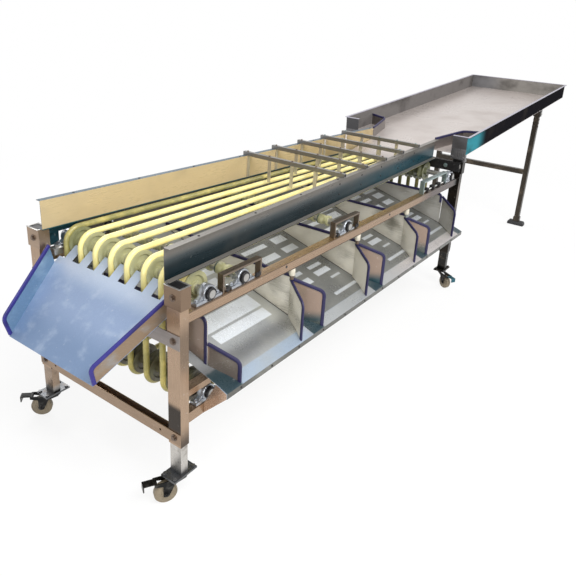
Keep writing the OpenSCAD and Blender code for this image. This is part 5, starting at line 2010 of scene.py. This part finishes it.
@dataclass
class Drive(Assembly):
    """Cooling fins and fan cover of the motor, and the gearbox's bolts."""

    motor_r: float = 54.0
    axis: Range = (311.0, 458.0)
    fin_xs: range = range(2070, 2245, 9)
    fin: Profile = ((0.97, -1.6), (1.07, -1.1), (1.07, 1.1), (0.97, 1.6))
    cover_x: float = 1989.0
    cover: Profile = ((0.3, 0.0), (0.9, 1.0), (1.03, 8.0), (1.04, 56.0), (0.99, 58.0))
    grille: Profile = ((0.35, -0.8), (0.4, -0.8), (0.4, 1.5), (0.35, 1.5))
    grille_count: int = 4
    grille_step: float = 0.15
    gearbox_y: float = 268.0
    gearbox_xs: Range = (2262.0, 2358.0)
    gearbox_zs: Range = (352.0, 502.0)
    head: Head = (6.0, 6.0)

    def build(self) -> None:
        """Builds the fins, the cover with its grille and the bolts."""
        fin = Form()
        fin.ring(scaled(self.fin, self.motor_r), ORIGIN, UP, steps=48)
        seats = [(self.place.at(x, *self.axis), ALONG) for x in self.fin_xs]
        self.add("motor_fins", fin, "grey_paint", "grey_paint", seats=seats)
        form = Form()
        start = self.place.at(self.cover_x, *self.axis)
        form.revolve(scaled(self.cover, self.motor_r), start, ALONG, steps=48)
        for n in range(self.grille_count):
            bar = [(share + self.grille_step * n, height) for share, height in self.grille]
            form.ring(scaled(bar, self.motor_r), start, ALONG, steps=40)
        for x in self.gearbox_xs:
            for z in self.gearbox_zs:
                form.bolt(self.place.at(x, self.gearbox_y, z), ACROSS * -1, self.head)
        self.add("motor_cover", form, "grey_paint", "grey_paint")


@dataclass(frozen=True)
class Lamp:
    """A soft oblong lamp, in the part's metres."""

    name: str
    spot: Point
    aim: Point
    size: Range
    watts: float

    def build(self) -> None:
        """Puts the lamp in the scene."""
        data = bpy.data.lights.new(self.name, "AREA")
        data.shape = "RECTANGLE"
        data.size, data.size_y = self.size
        data.energy = self.watts
        made = bpy.data.objects.new(self.name, data)
        bpy.context.scene.collection.objects.link(made)
        made.location = self.spot
        made.rotation_euler = (Vector(self.aim) - Vector(self.spot)).to_track_quat("-Z", "Y").to_euler()


@dataclass
class Studio:
    """Camera, lights, floor and background."""

    place: Place
    focal_px: float = 600.6
    yaw: float = 34.3
    pitch: float = 20.6
    roll: float = 3.6
    spot: Point = (-1228.1, -1651.2, 1720.2)
    shift_px: Range = (4.9, -55.6)
    sensor: float = 36.0
    clip: Range = (0.05, 200.0)
    lamps: tuple[Lamp, ...] = (Lamp("key", (-2.6, -3.4, 4.6), (0.0, 0.0, 0.6), (3.2, 2.2), 260.0),
                               Lamp("fill", (4.0, -4.2, 3.6), (0.6, 0.0, 0.6), (3.0, 2.0), 110.0),
                               Lamp("back", (0.5, 4.2, 4.4), (0.2, 0.0, 0.7), (4.0, 1.6), 130.0),
                               Lamp("end", (-6.4, -2.2, 1.8), (-1.0, -0.2, 0.5), (2.4, 1.8), 70.0))
    surround_light: float = 0.55
    floor_half: float = 30.0
    floor_t: float = 0.05
    floor_pale: Colour = (0.9, 0.9, 0.9)
    floor_grey: Colour = (0.87, 0.87, 0.87)
    floor_scale: float = 0.8
    floor_span: Range = (0.3, 0.7)
    floor_share: float = 0.3
    floor_rough: float = 0.85
    white_from: Range = (2.2, 5.0)
    near_white: float = 0.84

    def camera(self) -> None:
        """Sets the camera at the photograph's view."""
        yaw, pitch, roll = (math.radians(v) for v in (self.yaw, self.pitch, self.roll))
        ahead = Vector((math.cos(yaw) * math.cos(pitch), math.sin(yaw) * math.cos(pitch), -math.sin(pitch)))
        level = Vector((math.sin(yaw), -math.cos(yaw), 0.0))
        above = level.cross(ahead)
        right = level * math.cos(roll) + above * math.sin(roll)
        top = above * math.cos(roll) - level * math.sin(roll)
        data = bpy.data.cameras.new("camera")
        data.sensor_width = self.sensor
        data.lens = self.sensor * self.focal_px / IMAGE_PX
        data.shift_x = -self.shift_px[0] / IMAGE_PX
        data.shift_y = self.shift_px[1] / IMAGE_PX
        data.clip_start, data.clip_end = self.clip
        made = bpy.data.objects.new("camera", data)
        bpy.context.scene.collection.objects.link(made)
        turn = Matrix((right, top, -ahead)).transposed().to_4x4()
        made.matrix_world = Matrix.Translation(self.place.at(*self.spot)) @ turn
        bpy.context.scene.camera = made

    def surround(self) -> None:
        """Sets a plain surround, white to the camera and dimmer as light."""
        world = bpy.data.worlds.new("surround")
        bpy.context.scene.world = world
        world.use_nodes = True
        tree = world.node_tree
        tree.nodes.clear()
        rays = make_node(tree, "ShaderNodeLightPath", {}, {})
        seen = rays.outputs["Is Camera Ray"]
        for other in ("Is Glossy Ray", "Is Transmission Ray"):
            either = {0: seen, 1: rays.outputs[other]}
            seen = make_node(tree, "ShaderNodeMath", {"operation": "MAXIMUM"}, either).outputs[0]
        levels = {"Value": seen, "To Min": self.surround_light, "To Max": 1.0}
        level = make_node(tree, "ShaderNodeMapRange", {}, levels)
        ground = make_node(tree, "ShaderNodeBackground", {}, {"Color": WHITE, "Strength": level.outputs[0]})
        make_node(tree, "ShaderNodeOutputWorld", {}, {0: ground.outputs[0]})

    def floor(self) -> None:
        """Lays a plain pale floor that keeps the machine's shadow."""
        form = Form()
        half = self.floor_half
        form.box(Vector((-half, -half, -self.floor_t)), Vector((half, half, 0.0)))
        graph = Graph("floor_paint")
        cloud = graph.noise(self.floor_scale, detail=2.0)
        shade = graph.mix(cloud.span(*self.floor_span) * self.floor_share, self.floor_pale, self.floor_grey)
        material = graph.finish(shade, self.floor_rough)
        graph.shader.inputs["Specular IOR Level"].default_value = 0.0
        self.whiten(graph)
        made = bpy.data.objects.new("floor", form.done("floor", material))
        bpy.context.scene.collection.objects.link(made)

    def whiten(self, graph: Graph) -> None:
        """Lifts the floor to white where the camera or a reflection sees it.

        Args:
            graph: the floor's node graph.
        """
        rays = graph.node("ShaderNodeLightPath", {}, {})
        seen = Value(graph, rays.outputs["Is Camera Ray"]) + Value(graph, rays.outputs["Is Glossy Ray"])
        length = graph.node("ShaderNodeVectorMath", {"operation": "LENGTH"}, {0: graph.place})
        far = Value(graph, length.outputs["Value"]).span(*self.white_from)
        white = far * (1.0 - self.near_white) + self.near_white
        glow = graph.node("ShaderNodeEmission", {}, {"Color": WHITE, "Strength": 1.0})
        shaders = {0: seen * white, 1: graph.shader.outputs[0], 2: glow.outputs[0]}
        blend = graph.node("ShaderNodeMixShader", {}, shaders)
        out = next(n for n in graph.tree.nodes if n.type == "OUTPUT_MATERIAL")
        feed(graph.tree, out.inputs["Surface"], blend.outputs[0])

    def build(self) -> None:
        """Builds the whole set."""
        bpy.context.scene.view_settings.view_transform = "Standard"
        self.camera()
        for lamp in self.lamps:
            lamp.build()
        self.surround()
        self.floor()


NODE_FINISH: dict[str, str] = {
    "outer_legs": "frame_steel", "leg_brackets": "bracket_steel", "upper_rails": "rail_steel",
    "lower_rails": "rail_steel", "end_channels": "channel_steel", "cross_angle": "plate_steel",
    "infeed_beam": "dark_steel", "side_guards": "guard_sheet", "crossbars": "bar_steel",
    "lane_fingers": "lane_steel", "bearing_inserts": "dark_steel", "adjuster_frames": "adjuster_steel",
    "discharge_floor": "discharge_sheet", "discharge_walls": "discharge_wall", "chute_floor": "chute_sheet",
    "chute_dividers": "divider_sheet", "chute_cheeks": "divider_sheet", "tray_floor": "tray_floor",
    "tray_walls": "tray_wall", "tray_rim": "tray_rim", "feed_tongue": "tray_floor",
    "feed_gates": "plate_steel", "tray_brackets": "dark_steel", "gear_motor": "grey_paint",
    "gearbox": "grey_paint", "fasteners": "bolt_steel", "support_frame": "support_steel",
    "castor_pedal_3": "teal_plate",
}
WORD_FINISH: dict[str, str] = {
    "_shaft": "zinc", "pulleys": "cream_nylon", "inner_leg": "leg_zinc", "castor_fork": "castor_zinc",
    "castor_wheel": "tyre", "castor_pedal": "castor_zinc",
}


def dress_nodes(finishes: Finishes) -> None:
    """Gives every CAD node its finish, by its name or by a word in it.

    Args:
        finishes: the finishes.
    """
    for name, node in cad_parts.items():
        by_word = next((finish for word, finish in WORD_FINISH.items() if word in name), "zinc")
        finish = NODE_FINISH.get(name, by_word)
        node.data.materials.clear()
        node.data.materials.append(finishes[finish])
        LOG.info("node %s in %s", name, finish)


def main() -> None:
    """Builds the set, the finishes and every sub-assembly in order."""
    logging.basicConfig(level=logging.INFO, format="%(name)s: %(message)s")
    place = Place()
    Graph.follow(place)
    Studio(place).build()
    finishes = Finishes(place)
    dress_nodes(finishes)
    kit = (place, finishes, SetOutTree())
    belts = Belts(*kit, CordTree())
    tray = FeedTray(*kit)
    for assembly in (belts, Rollers(*kit, belts), Bearings(*kit), tray, Edging(*kit, tray), Adjusters(*kit),
                     Hardware(*kit), Castors(*kit), Drive(*kit)):
        assembly.build()


if __name__ == "__main__":
    main()
